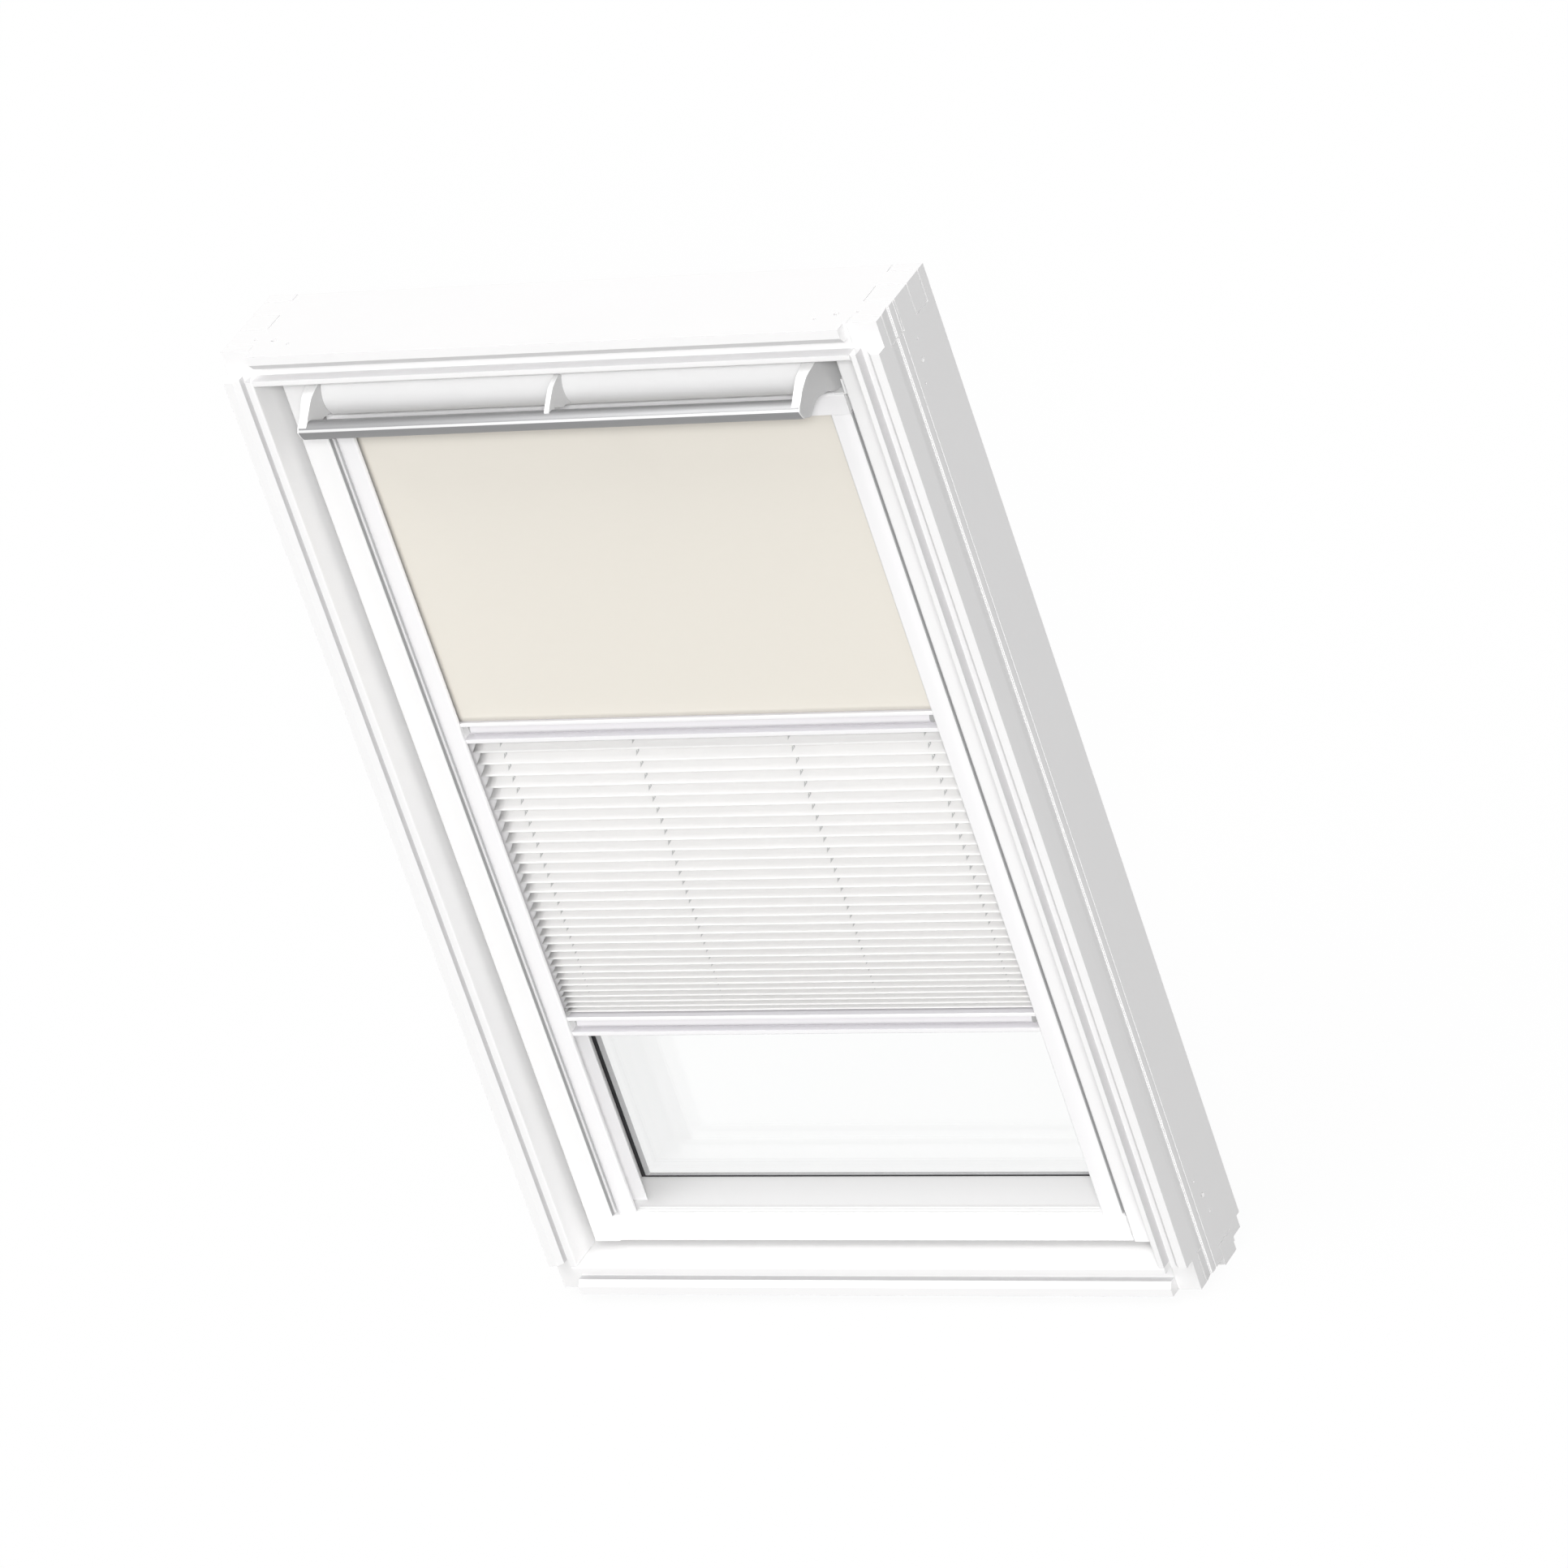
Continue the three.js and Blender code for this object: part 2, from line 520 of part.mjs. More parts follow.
// Pivot: a plate with a pin on the frame, and a plate with a bearing boss on the sash
function makePivots() {
  const plateX = [REVEAL_X - GAP - PIVOT_PLATE_THICKNESS, REVEAL_X - GAP];
  const sashPlateX = [SASH_X - GAP - SASH_PLATE_THICKNESS, SASH_X - GAP];
  const bossX = sashPlateX[1] - PIVOT_BOSS_LENGTH;
  const plate = (side, reach, width, height) => box(span(side, ...reach),
    [PIVOT_DEPTH - width / 2, PIVOT_DEPTH + width / 2], [PIVOT_HEIGHT - height / 2, PIVOT_HEIGHT + height / 2]);
  const round = (side, radius, a, b) => prism('x', circle(PIVOT_DEPTH, PIVOT_HEIGHT, radius), ...span(side, a, b));
  const sashPlateWidth = PIVOT_PLATE_WIDTH + SASH_PLATE_MARGIN;
  const sashPlateHeight = PIVOT_PLATE_HEIGHT + 2 * SASH_PLATE_MARGIN;
  bothSides((word, side) => {
    addPiece(`pivot_pin_plate_${word}`, join(
      plate(side, plateX, PIVOT_PLATE_WIDTH, PIVOT_PLATE_HEIGHT),
      round(side, PIVOT_PIN_RADIUS, bossX + PIVOT_PIN_END_GAP, plateX[1]),
    ), steel);
    addPiece(`pivot_bearing_${word}`, cut(
      join(plate(side, sashPlateX, sashPlateWidth, sashPlateHeight),
        round(side, PIVOT_BOSS_RADIUS, bossX, sashPlateX[1])),
      round(side, PIVOT_PIN_RADIUS + RUNNING_GAP, bossX - OVERRUN, sashPlateX[1] + OVERRUN),
    ), steel);
  });
  return {
    recess: (side) => [
      plate(side, [sashPlateX[0] - GAP, SASH_X + OVERRUN], sashPlateWidth + 2 * GAP, sashPlateHeight + 2 * GAP),
      round(side, PIVOT_BOSS_RADIUS + GAP, bossX - GAP, SASH_X + OVERRUN),
    ],
  };
}

// Sash: two full-height sides with the rails between them
function makeSash(pivotRecess) {
  const glassRebate = [GLASS_BOTTOM - GAP, GLASS_TOP + GAP];
  const behind = [REBATE_START, SASH_BACK + OVERRUN];
  const railHalf = OPENING_X - GAP;
  bothSides((word, side) => {
    const outline = filleted([
      [side * SASH_X, SASH_FRONT, SASH_ROUND], [side * OPENING_X, SASH_FRONT, SASH_ROUND],
      [side * OPENING_X, SASH_BACK], [side * SASH_X, SASH_BACK],
    ]);
    const rebate = box(span(side, OPENING_X - OVERRUN, GLASS_X + GAP), behind, glassRebate);
    addPiece(`sash_side_${word}`,
      cut(prism('z', outline, SASH_BOTTOM, SASH_TOP), rebate, ...pivotRecess(side)), whitePaint);
  });
  const sillOutline = filleted([
    [SASH_FRONT, SASH_BOTTOM, SASH_ROUND], [SASH_BACK, SASH_BOTTOM], [SASH_BACK, GLASS_BOTTOM - GAP],
    [REBATE_START, GLASS_BOTTOM - GAP], [REBATE_START, OPENING_BOTTOM],
    [SASH_FRONT, OPENING_BOTTOM, SASH_ROUND],
  ]);
  addPiece('sash_sill', prism('x', sillOutline, -railHalf, railHalf), whitePaint);
  const headOutline = [
    [SASH_HEAD_FRONT, OPENING_TOP], [REBATE_START, OPENING_TOP], [REBATE_START, GLASS_TOP + GAP],
    [SASH_BACK, GLASS_TOP + GAP], [SASH_BACK, SASH_TOP], [SASH_HEAD_FRONT, SASH_TOP],
  ];
  addPiece('sash_head', cut(prism('x', headOutline, -railHalf, railHalf), ...lockPocket()), whitePaint);
}

const LOCK = {
  x: [-LOCK_WIDTH / 2, LOCK_WIDTH / 2],
  y: [SASH_HEAD_FRONT + GAP, SASH_HEAD_FRONT + LOCK_DEPTH],
  z: [OPENING_TOP + LOCK_BOTTOM, OPENING_TOP + LOCK_BOTTOM + LOCK_HEIGHT],
};
const BOLT_Y = [BOLT_START, BOLT_START + BOLT_DEPTH];

function grown([low, high], margin) {
  return [low - margin, high + margin];
}

function boltSlot() {
  return box(grown([-BOLT_WIDTH / 2, BOLT_WIDTH / 2], RUNNING_GAP), grown(BOLT_Y, RUNNING_GAP),
    [LOCK.z[1] - 2 * LOCK_WALL, SASH_TOP + OVERRUN]);
}

function lockPocket() {
  const pocket = box(grown(LOCK.x, GAP), [SASH_HEAD_FRONT - OVERRUN, LOCK.y[1] + GAP], grown(LOCK.z, GAP));
  return [pocket, boltSlot()];
}

function makeLatch() {
  const hollow = box(grown(LOCK.x, -LOCK_WALL), [LOCK.y[0] - OVERRUN, LOCK.y[1] - LOCK_WALL],
    grown(LOCK.z, -LOCK_WALL));
  addPiece('lock_case', cut(box(LOCK.x, LOCK.y, LOCK.z), hollow, boltSlot()), steel);
  const foot = OPENING_TOP + BOLT_FOOT_LEVEL;
  const shank = [
    [BOLT_Y[0], foot], [BOLT_Y[1], foot], [BOLT_Y[1], BOLT_TIP],
    [BOLT_Y[0] + BOLT_BEVEL, BOLT_TIP], [BOLT_Y[0], BOLT_TIP - BOLT_BEVEL],
  ];
  addPiece('latch_bolt', join(
    prism('x', shank, -BOLT_WIDTH / 2, BOLT_WIDTH / 2),
    box([-BOLT_FOOT_WIDTH / 2, BOLT_FOOT_WIDTH / 2], BOLT_Y, [foot, foot + BOLT_FOOT_HEIGHT]),
  ), steel);
  const strikeY = [BOLT_Y[0] + (BOLT_DEPTH - STRIKE_DEPTH) / 2, BOLT_Y[0] + (BOLT_DEPTH + STRIKE_DEPTH) / 2];
  addPiece('strike_plate', cut(
    box([-STRIKE_WIDTH / 2, STRIKE_WIDTH / 2], strikeY, [STRIKE_LEVEL, STRIKE_LEVEL + STRIKE_THICKNESS]),
    box(grown([-BOLT_WIDTH / 2, BOLT_WIDTH / 2], STRIKE_SLOT_MARGIN), grown(BOLT_Y, STRIKE_SLOT_MARGIN),
      grown([STRIKE_LEVEL, STRIKE_LEVEL + STRIKE_THICKNESS], OVERRUN)),
  ), steel);
}

function rectangle(halfX, bottom, top) {
  return [[bottom, -halfX], [top, -halfX], [top, halfX], [bottom, halfX]];
}

function makeGlazing() {
  const gasketEdge = OPENING_X - GAP;
  const gasketOuter = rectangle(gasketEdge, OPENING_BOTTOM + GAP, OPENING_TOP - GAP);
  const gasketInner = rectangle(gasketEdge - GASKET_WIDTH, OPENING_BOTTOM + GAP + GASKET_SILL_WIDTH,
    OPENING_TOP - GAP - GASKET_WIDTH);
  addPiece('glazing_gasket',
    prism('y', gasketOuter, REBATE_START - GASKET_THICKNESS, REBATE_START, [gasketInner]), darkRubber);
  const pane = rectangle(GLASS_X, GLASS_BOTTOM, GLASS_TOP);
  const innerStart = REBATE_START + GAP;
  const spacerStart = innerStart + PANE_THICKNESS + GAP;
  const outerStart = spacerStart + PANE_SPACING + GAP;
  addPiece('inner_pane', prism('y', pane, innerStart, innerStart + PANE_THICKNESS), glass);
  addPiece('outer_pane', prism('y', pane, outerStart, outerStart + PANE_THICKNESS), glass);
  const spacerRing = (width) => rectangle(GLASS_X - SPACER_INSET - width,
    GLASS_BOTTOM + SPACER_SILL_INSET + width, GLASS_TOP - SPACER_INSET - width);
  addPiece('spacer_bar', prism('y', spacerRing(0), spacerStart, spacerStart + PANE_SPACING,
    [spacerRing(SPACER_WIDTH)]), aluminium);
  makeCovers(outerStart + PANE_THICKNESS + GAP);
}

// Folded metal covers that hold the glass from outside
function makeCovers(face) {
  const outerX = SASH_X - COVER_INSET;
  const bottom = SASH_BOTTOM + COVER_INSET;
  const top = SASH_TOP - COVER_INSET;
  const start = SASH_BACK + GAP;
  const fold = (edge, inward, width = COVER_WIDTH) => [
    [edge, start], [edge, face + COVER_SHEET], [edge + inward * width, face + COVER_SHEET],
    [edge + inward * width, face], [edge + inward * COVER_SHEET, face],
    [edge + inward * COVER_SHEET, start],
  ];
  bothSides((word, side) => addPiece(`glass_cover_${word}`,
    prism('z', fold(side * outerX, -side), bottom, top), greyCladding));
  const half = outerX - COVER_WIDTH - GAP;
  const turned = (outline) => outline.map(([height, depth]) => [depth, height]);
  addPiece('glass_cover_top', prism('x', turned(fold(top, -1)), -half, half), greyCladding);
  addPiece('glass_cover_bottom', prism('x', turned(fold(bottom, 1, COVER_SILL_WIDTH)), -half, half),
    greyCladding);
}

// Drum flap, arms and control bar. Their outlines are shares of the arm's reach from the drum axis.
const fromDrum = (shares) => shares.map(([y, z]) => [DRUM_DEPTH + y * ARM_REACH, DRUM_HEIGHT + z * ARM_REACH]);

function makeFlap() {
  const inner = DRUM_RADIUS - FLAP_THICKNESS;
  const outline = [
    ...arc(DRUM_DEPTH, DRUM_HEIGHT, DRUM_RADIUS, FLAP_START, FLAP_END, FLAP_STEPS),
    ...arc(DRUM_DEPTH, DRUM_HEIGHT, inner, FLAP_END, FLAP_START, FLAP_STEPS),
  ];
  addPiece('vent_flap', prism('x', outline, -FLAP_HALF, FLAP_HALF), whiteSteel);
}

// The bar's outline pushed out by a clearance, for the seats cut into the arms
function barSeat(side) {
  const points = fromDrum(BAR_OUTLINE_SHARES);
  const middle = points.reduce(([a, b], [y, z]) => [a + y / points.length, b + z / points.length], [0, 0]);
  const seat = points.map(([y, z]) => {
    const away = new THREE.Vector2(y - middle[0], z - middle[1]);
    away.setLength(away.length() + 2 * GAP);
    return [middle[0] + away.x, middle[1] + away.y];
  });
  return prism('x', seat, ...span(side, 0, ARM_OUTER + GAP));
}

function makeArms() {
  const outline = fromDrum([...ARM_TOP_SHARES, ...ARM_NOSE_SHARES, ...ARM_ARCH_SHARES]);
  const rodHole = (side) => prism('x', circle(DRUM_DEPTH, DRUM_HEIGHT, ROD_RADIUS + RUNNING_GAP, SMALL_ROUND_SIDES),
    ...span(side, ARM_INNER - OVERRUN, ARM_INNER + ROD_HOLE_DEPTH));
  bothSides((word, side) => {
    const cap = cut(prism('x', outline, ...span(side, ARM_INNER, ARM_OUTER + ARM_CAP)),
      box(span(side, ARM_OUTER, ARM_OUTER + OVERRUN),
        [DRUM_DEPTH - ARM_TIP_SHARE * ARM_REACH, DRUM_DEPTH + ARM_REACH],
        [DRUM_HEIGHT - ARM_REACH, DRUM_HEIGHT + ARM_REACH]));
    addPiece(`bar_arm_${word}`, cut(cap, barSeat(side), rodHole(side)), whitePlastic);
  });
  const fin = [
    ...fromDrum(FIN_TOP_SHARES), ...fromDrum(FIN_FOOT_SHARES),
    ...arc(DRUM_DEPTH, DRUM_HEIGHT, DRUM_RADIUS + GAP, FIN_FLAP_END, FIN_FLAP_START, FIN_FLAP_STEPS),
  ];
  const seat = join(barSeat(-1), barSeat(1));
  addPiece('bar_fin', cut(prism('x', fin, -FIN_THICKNESS / 2, FIN_THICKNESS / 2), seat), whitePlastic);
  addPiece('control_bar', prism('x', fromDrum(BAR_OUTLINE_SHARES), -ARM_OUTER, ARM_OUTER,
    [fromDrum(BAR_HOLLOW_SHARES)]), aluminium);
}

// Lugs on the head rail carry the rod that the arms turn on
function makeDrumHinge() {
  const rodEnd = ARM_INNER + ROD_HOLE_DEPTH - GAP;
  addPiece('hinge_rod', prism('x', circle(DRUM_DEPTH, DRUM_HEIGHT, ROD_RADIUS, SMALL_ROUND_SIDES),
    -rodEnd, rodEnd), steel);
  const outer = ARM_INNER - LUG_FROM_ARM - LUG_THICKNESS / 2;
  const lugTop = DRUM_HEIGHT + LUG_HEIGHT / 2;
  for (const [word, x] of [['left', -outer], ['middle', 0], ['right', outer]]) {
    const reach = grown([x, x], LUG_THICKNESS / 2);
    const body = box(reach, [DRUM_DEPTH - LUG_NOSE, SASH_HEAD_FRONT - GAP], [lugTop - LUG_HEIGHT, lugTop]);
    const hole = prism('x', circle(DRUM_DEPTH, DRUM_HEIGHT, ROD_RADIUS + RUNNING_GAP, SMALL_ROUND_SIDES),
      ...grown(reach, OVERRUN));
    addPiece(`drum_lug_${word}`, cut(body, hole), steel);
  }
  const filterHalf = FLAP_HALF - FILTER_END_MARGIN;
  const filterBottom = lugTop + FILTER_OVER_LUG;
  addPiece('air_filter', box([-filterHalf, filterHalf],
    [SASH_HEAD_FRONT - GAP - FILTER_DEPTH, SASH_HEAD_FRONT - GAP],
    [filterBottom, filterBottom + FILTER_HEIGHT]), foam);
}

// Side rails are open channels towards the fabric
function railOutline(side) {
  const { start, sheet, fold } = RAIL_FLANGE;
  const wallX = BLIND_X - RAIL_SIDE_WALL;
  const edge = OPENING_X - GAP;
  const frontInside = BLIND_FRONT + RAIL_FRONT_WALL;
  const backInside = BLIND_BACK - RAIL_BACK_WALL;
  return filleted([
    [BLIND_X, BLIND_BACK], [BLIND_X, start + sheet], [edge, start + sheet], [edge, start - fold],
    [edge - sheet, start - fold], [edge - sheet, start], [BLIND_X, start],
    [BLIND_X, BLIND_FRONT, RAIL_ROUND], [BLIND_INNER_X, BLIND_FRONT, RAIL_INNER_ROUND],
    [BLIND_INNER_X, frontInside], [wallX, frontInside], [wallX, backInside],
    [BLIND_INNER_X, backInside], [BLIND_INNER_X, BLIND_BACK],
  ]).map(([x, y]) => [side * x, y]);
}

function casingOutline() {
  const slotStart = BLIND_FRONT + CASING_SLOT.start;
  const slotEnd = BLIND_FRONT + CASING_SLOT.end;
  const [front, back] = [BLIND_FRONT + CASING_WALL, BLIND_BACK - CASING_WALL];
  const [floor, roof] = [CASING_BOTTOM + CASING_WALL, CASING_TOP - CASING_WALL];
  return filleted([
    [slotStart, CASING_BOTTOM], [BLIND_FRONT, CASING_BOTTOM], [BLIND_FRONT, CASING_TOP, CASING_ROUND],
    [BLIND_BACK, CASING_TOP], [BLIND_BACK, CASING_BOTTOM], [slotEnd, CASING_BOTTOM],
    [slotEnd, floor], [back, floor], [back, roof], [front, roof], [front, floor], [slotStart, floor],
  ]);
}

function makeBlindHousing() {
  addPiece('blind_casing', prism('x', casingOutline(), -BLIND_X, BLIND_X), whitePaint);
  const inside = {
    y: [BLIND_FRONT + CASING_WALL + GAP, BLIND_BACK - CASING_WALL - GAP],
    z: [CASING_BOTTOM + CASING_WALL + GAP, CASING_TOP - CASING_WALL - GAP],
  };
  const pinHole = (side) => prism('x',
    circle(ROLLER_DEPTH, ROLLER_HEIGHT, ROLLER_PIN_RADIUS + RUNNING_GAP, SMALL_ROUND_SIDES),
    ...span(side, BLIND_X - CAP_LENGTH - OVERRUN, BLIND_X + OVERRUN));
  bothSides((word, side) => {
    addPiece(`casing_cap_${word}`,
      cut(box(span(side, BLIND_X - CAP_LENGTH, BLIND_X), inside.y, inside.z), pinHole(side)), whitePlastic);
    addPiece(`side_rail_${word}`,
      prism('z', railOutline(side), RAIL_BOTTOM, CASING_BOTTOM - GAP), whitePaint);
    const wall = OPENING_X - GAP;
    const seat = CASING_TOP + GAP;
    const depth = [BLIND_FRONT - CLIP_SHEET, BLIND_FRONT - CLIP_SHEET + CLIP_DEPTH];
    addPiece(`mounting_clip_${word}`, join(
      box(span(side, wall - CLIP_SHEET, wall), depth, [seat, OPENING_TOP]),
      box(span(side, wall - CLIP_FOOT, wall), depth, [seat, seat + CLIP_SHEET]),
    ), whiteSteel);
  });
}

function makeRoller() {
  addPiece('roller_tube', prism('x', circle(ROLLER_DEPTH, ROLLER_HEIGHT, ROLLER_RADIUS),
    -ROLLER_HALF, ROLLER_HALF, [circle(ROLLER_DEPTH, ROLLER_HEIGHT, ROLLER_BORE)]), aluminium);
  bothSides((word, side) => addPiece(`roller_pin_${word}`, join(
    prism('x', circle(ROLLER_DEPTH, ROLLER_HEIGHT, ROLLER_BORE - GAP, ROUND_SIDES),
      ...span(side, ROLLER_HALF - ROLLER_PLUG_LENGTH, ROLLER_HALF)),
    prism('x', circle(ROLLER_DEPTH, ROLLER_HEIGHT, ROLLER_PIN_RADIUS, SMALL_ROUND_SIDES),
      ...span(side, ROLLER_HALF - ROLLER_PLUG_LENGTH / 2, BLIND_X - ROLLER_PIN_END_GAP)),
  ), whitePlastic));
}

// A sliding rail with a finger channel along its front and a hollow core
function makeSlidingRail(name, level, height) {
  const [front, back] = [SLIDING_RAIL_FRONT, SLIDING_RAIL_FRONT + SLIDING_RAIL_DEPTH];
  const top = level + height;
  const recess = front + HANDLE_RECESS;
  const outline = filleted([
    [front, level, SLIDING_RAIL_ROUND], [front, level + HANDLE_LIP_BOTTOM],
    [recess, level + HANDLE_LIP_BOTTOM, SLIDING_RAIL_ROUND], [recess, top - HANDLE_LIP_TOP, SLIDING_RAIL_ROUND],
    [front, top - HANDLE_LIP_TOP], [front, top, SLIDING_RAIL_ROUND], [back, top], [back, level],
  ]);
  const [coreStart, coreEnd] = [recess + RAIL_HOLLOW_WALL, back - RAIL_HOLLOW_WALL];
  const core = [
    [coreStart, level + RAIL_HOLLOW_WALL], [coreEnd, level + RAIL_HOLLOW_WALL],
    [coreEnd, top - RAIL_HOLLOW_WALL], [coreStart, top - RAIL_HOLLOW_WALL],
  ];
  addPiece(name, prism('x', outline, -SLIDING_RAIL_HALF, SLIDING_RAIL_HALF, [core]), whitePaint);
  bothSides((word, side) => addPiece(`${name}_glide_${word}`,
    box(span(side, SLIDING_RAIL_HALF + GAP, SLIDING_RAIL_HALF + GAP + GLIDE_LENGTH),
      [front + GLIDE_MARGIN, back - GLIDE_MARGIN], [level + GLIDE_MARGIN, top - GLIDE_MARGIN]), whitePlastic));
}

function makeBlackout() {
  const back = ROLLER_DEPTH - ROLLER_RADIUS - GAP;
  addPiece('blackout_fabric', box([-FABRIC_X, FABRIC_X], [back - FABRIC_THICKNESS, back],
    [MIDDLE_RAIL_LEVEL + MIDDLE_RAIL_HEIGHT + GAP, ROLLER_HEIGHT]), blackoutCloth);
}

// Heights of the front folds, closer together towards the lower rail
function pleatFolds(top, bottom) {
  const weights = Array.from({ length: PLEAT_COUNT },
    (_, i) => 1 - (1 - PLEAT_LAST_SHARE) * (i / (PLEAT_COUNT - 1)) ** PLEAT_BEND);
  const total = weights.reduce((sum, weight) => sum + weight, 0);
  let height = top;
  return [top, ...weights.map((weight) => (height -= (top - bottom) * weight / total))];
}

// The cloth's thickness, measured along y at a point of the zigzag
function pleatHalf(line, i) {
  const [from, to] = [line[Math.max(i - 1, 0)], line[Math.max(i, 1)]];
  const slope = Math.hypot(to[0] - from[0], to[1] - from[1]) / Math.abs(to[1] - from[1]);
  return PLEAT_THICKNESS / 2 * slope;
}

function makePleats() {
  const front = BLIND_FRONT + PLEAT_SETBACK;
  const back = front + PLEAT_DEPTH;
  const top = MIDDLE_RAIL_LEVEL - GAP;
  const foot = BOTTOM_RAIL_LEVEL + BOTTOM_RAIL_HEIGHT + GAP;
  const folds = pleatFolds(top, foot + PLEAT_FOOT);
  const line = folds.flatMap((height, i) => (i === folds.length - 1
    ? [[front, height], [front + PLEAT_DEPTH / 2, foot]]
    : [[front, height], [back, (height + folds[i + 1]) / 2]]));
  const roomSide = line.map(([y, z], i) => [y - pleatHalf(line, i), z]);
  const glassSide = line.map(([y, z], i) => [y + pleatHalf(line, i), z]);
  addPiece('pleated_fabric', prism('x', [...roomSide, ...glassSide.toReversed()], -FABRIC_X, FABRIC_X),
    pleatedCloth);
}

function makeSillStrip() {
  const start = BLIND_FRONT + SILL_STRIP_SETBACK;
  const bottom = OPENING_BOTTOM + GAP;
  const top = bottom + SILL_STRIP_HEIGHT;
  const grooves = SILL_STRIP_GROOVES.map((place) => box(
    grown([-SLIDING_RAIL_HALF, SLIDING_RAIL_HALF], OVERRUN),
    [start + place, start + place + SILL_STRIP_GROOVE_WIDTH],
    [top - SILL_STRIP_GROOVE_DEPTH, top + OVERRUN]));
  addPiece('sill_strip', cut(box([-SLIDING_RAIL_HALF, SLIDING_RAIL_HALF],
    [start, start + SILL_STRIP_WIDTH], [bottom, top]), ...grooves), whitePlastic);
}

makeFrame();
const { recess } = makePivots();
makeSash(recess);
makeGlazing();
makeLatch();
makeFlap();
makeArms();
makeDrumHinge();
makeBlindHousing();
makeRoller();
makeSlidingRail('middle_rail', MIDDLE_RAIL_LEVEL, MIDDLE_RAIL_HEIGHT);
makeSlidingRail('bottom_rail', BOTTOM_RAIL_LEVEL, BOTTOM_RAIL_HEIGHT);
makeBlackout();
makePleats();
makeSillStrip();

export default model;
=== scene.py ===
# %% [markdown]
# # A roof window with its double blind, dressed in Blender
#
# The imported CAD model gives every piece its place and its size. This notebook adds what CAD leaves
# out: softened edges, folded cloth, shaped rails, and materials that are built from nodes. Lengths
# are in metres unless a comment says otherwise. X runs to the right seen from the room, Y runs out
# through the roof and Z runs up along the window.

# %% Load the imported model
import math

import bmesh
import bpy
import numpy as np
from mathutils import Matrix, Vector


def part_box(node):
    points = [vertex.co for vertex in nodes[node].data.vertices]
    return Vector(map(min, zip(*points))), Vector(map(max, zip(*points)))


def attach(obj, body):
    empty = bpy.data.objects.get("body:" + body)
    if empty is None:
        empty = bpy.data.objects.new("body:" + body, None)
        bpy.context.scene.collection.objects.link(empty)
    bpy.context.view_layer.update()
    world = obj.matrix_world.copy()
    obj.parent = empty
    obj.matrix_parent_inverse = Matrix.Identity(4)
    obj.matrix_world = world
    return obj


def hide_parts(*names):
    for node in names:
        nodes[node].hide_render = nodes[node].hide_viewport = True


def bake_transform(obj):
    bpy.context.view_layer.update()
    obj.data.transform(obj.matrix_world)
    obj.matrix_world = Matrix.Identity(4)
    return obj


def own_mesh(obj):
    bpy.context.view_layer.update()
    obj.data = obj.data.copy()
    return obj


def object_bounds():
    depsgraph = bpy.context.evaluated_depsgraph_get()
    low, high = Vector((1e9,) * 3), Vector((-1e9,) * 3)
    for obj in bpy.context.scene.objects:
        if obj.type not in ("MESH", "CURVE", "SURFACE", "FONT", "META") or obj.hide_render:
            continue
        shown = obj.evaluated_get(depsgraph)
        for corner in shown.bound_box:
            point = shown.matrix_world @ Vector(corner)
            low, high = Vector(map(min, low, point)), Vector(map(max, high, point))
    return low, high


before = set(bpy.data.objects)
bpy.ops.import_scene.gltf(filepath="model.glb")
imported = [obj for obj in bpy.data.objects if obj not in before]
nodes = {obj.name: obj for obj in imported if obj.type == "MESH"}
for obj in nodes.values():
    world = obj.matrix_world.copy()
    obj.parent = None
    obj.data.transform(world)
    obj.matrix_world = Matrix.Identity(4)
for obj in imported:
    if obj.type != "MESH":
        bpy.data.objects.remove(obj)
cad_box = [list(corner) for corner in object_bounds()]
scene = bpy.context.scene
scene.view_settings.view_transform = "Standard"
MM = 0.001

# %% [markdown]
# ## Camera
#
# The window was pictured through a long lens from the upper right, with the camera rolled so that
# the window leans as it does in a roof. Four frame corners gave the place and the direction. A long
# lens keeps the two sides of the frame almost parallel, which a short lens close by would not.

# %% Camera
CAMERA_PLACE = Vector((5.9582, -8.3583, 5.9646))
CAMERA_FORWARD = Vector((-0.50835, 0.72648, -0.46239))
CAMERA_UP = Vector((0.01949, 0.54651, 0.83723))
CAMERA_LENS = 257.07  # millimetres
CAMERA_SENSOR = 36  # its width in millimetres
CAMERA_REACH = 60  # metres, well past the window and the floor behind it


def aim_camera():
    back = -CAMERA_FORWARD.normalized()
    right = CAMERA_UP.cross(back).normalized()
    up = back.cross(right)
    turn = Matrix((right, up, back)).transposed().to_4x4()
    camera = bpy.data.objects.new("camera", bpy.data.cameras.new("camera"))
    camera.data.lens = CAMERA_LENS
    camera.data.sensor_width = CAMERA_SENSOR
    camera.data.clip_end = CAMERA_REACH
    camera.matrix_world = Matrix.Translation(CAMERA_PLACE) @ turn
    scene.collection.objects.link(camera)
    scene.camera = camera
    print("camera at", tuple(round(value, 3) for value in camera.location))


aim_camera()

# %% [markdown]
# ## A small language for node trees
#
# Every material below is a tree of nodes. Written out in full, each node takes three or four lines,
# so one helper adds a node, sets its values and links its inputs. An input that is given a socket
# is linked, and any other value is set on it.

# %% Node helpers
def feed(tree, socket, value):
    """Links value to a socket when value is a socket too, and sets it there otherwise."""
    if isinstance(value, bpy.types.NodeSocket):
        tree.links.new(value, socket)
    else:
        socket.default_value = value


def add_node(tree, kind, inputs=None, **settings):
    node = tree.nodes.new(kind)
    for name, value in settings.items():
        setattr(node, name, value)
    for name, value in (inputs or {}).items():
        feed(tree, node.inputs[name], value)
    return node


def add_math(tree, operation, first, second=0.0, clamp=False):
    node = add_node(tree, "ShaderNodeMath", {0: first, 1: second},
                    operation=operation, use_clamp=clamp)
    return node.outputs[0]


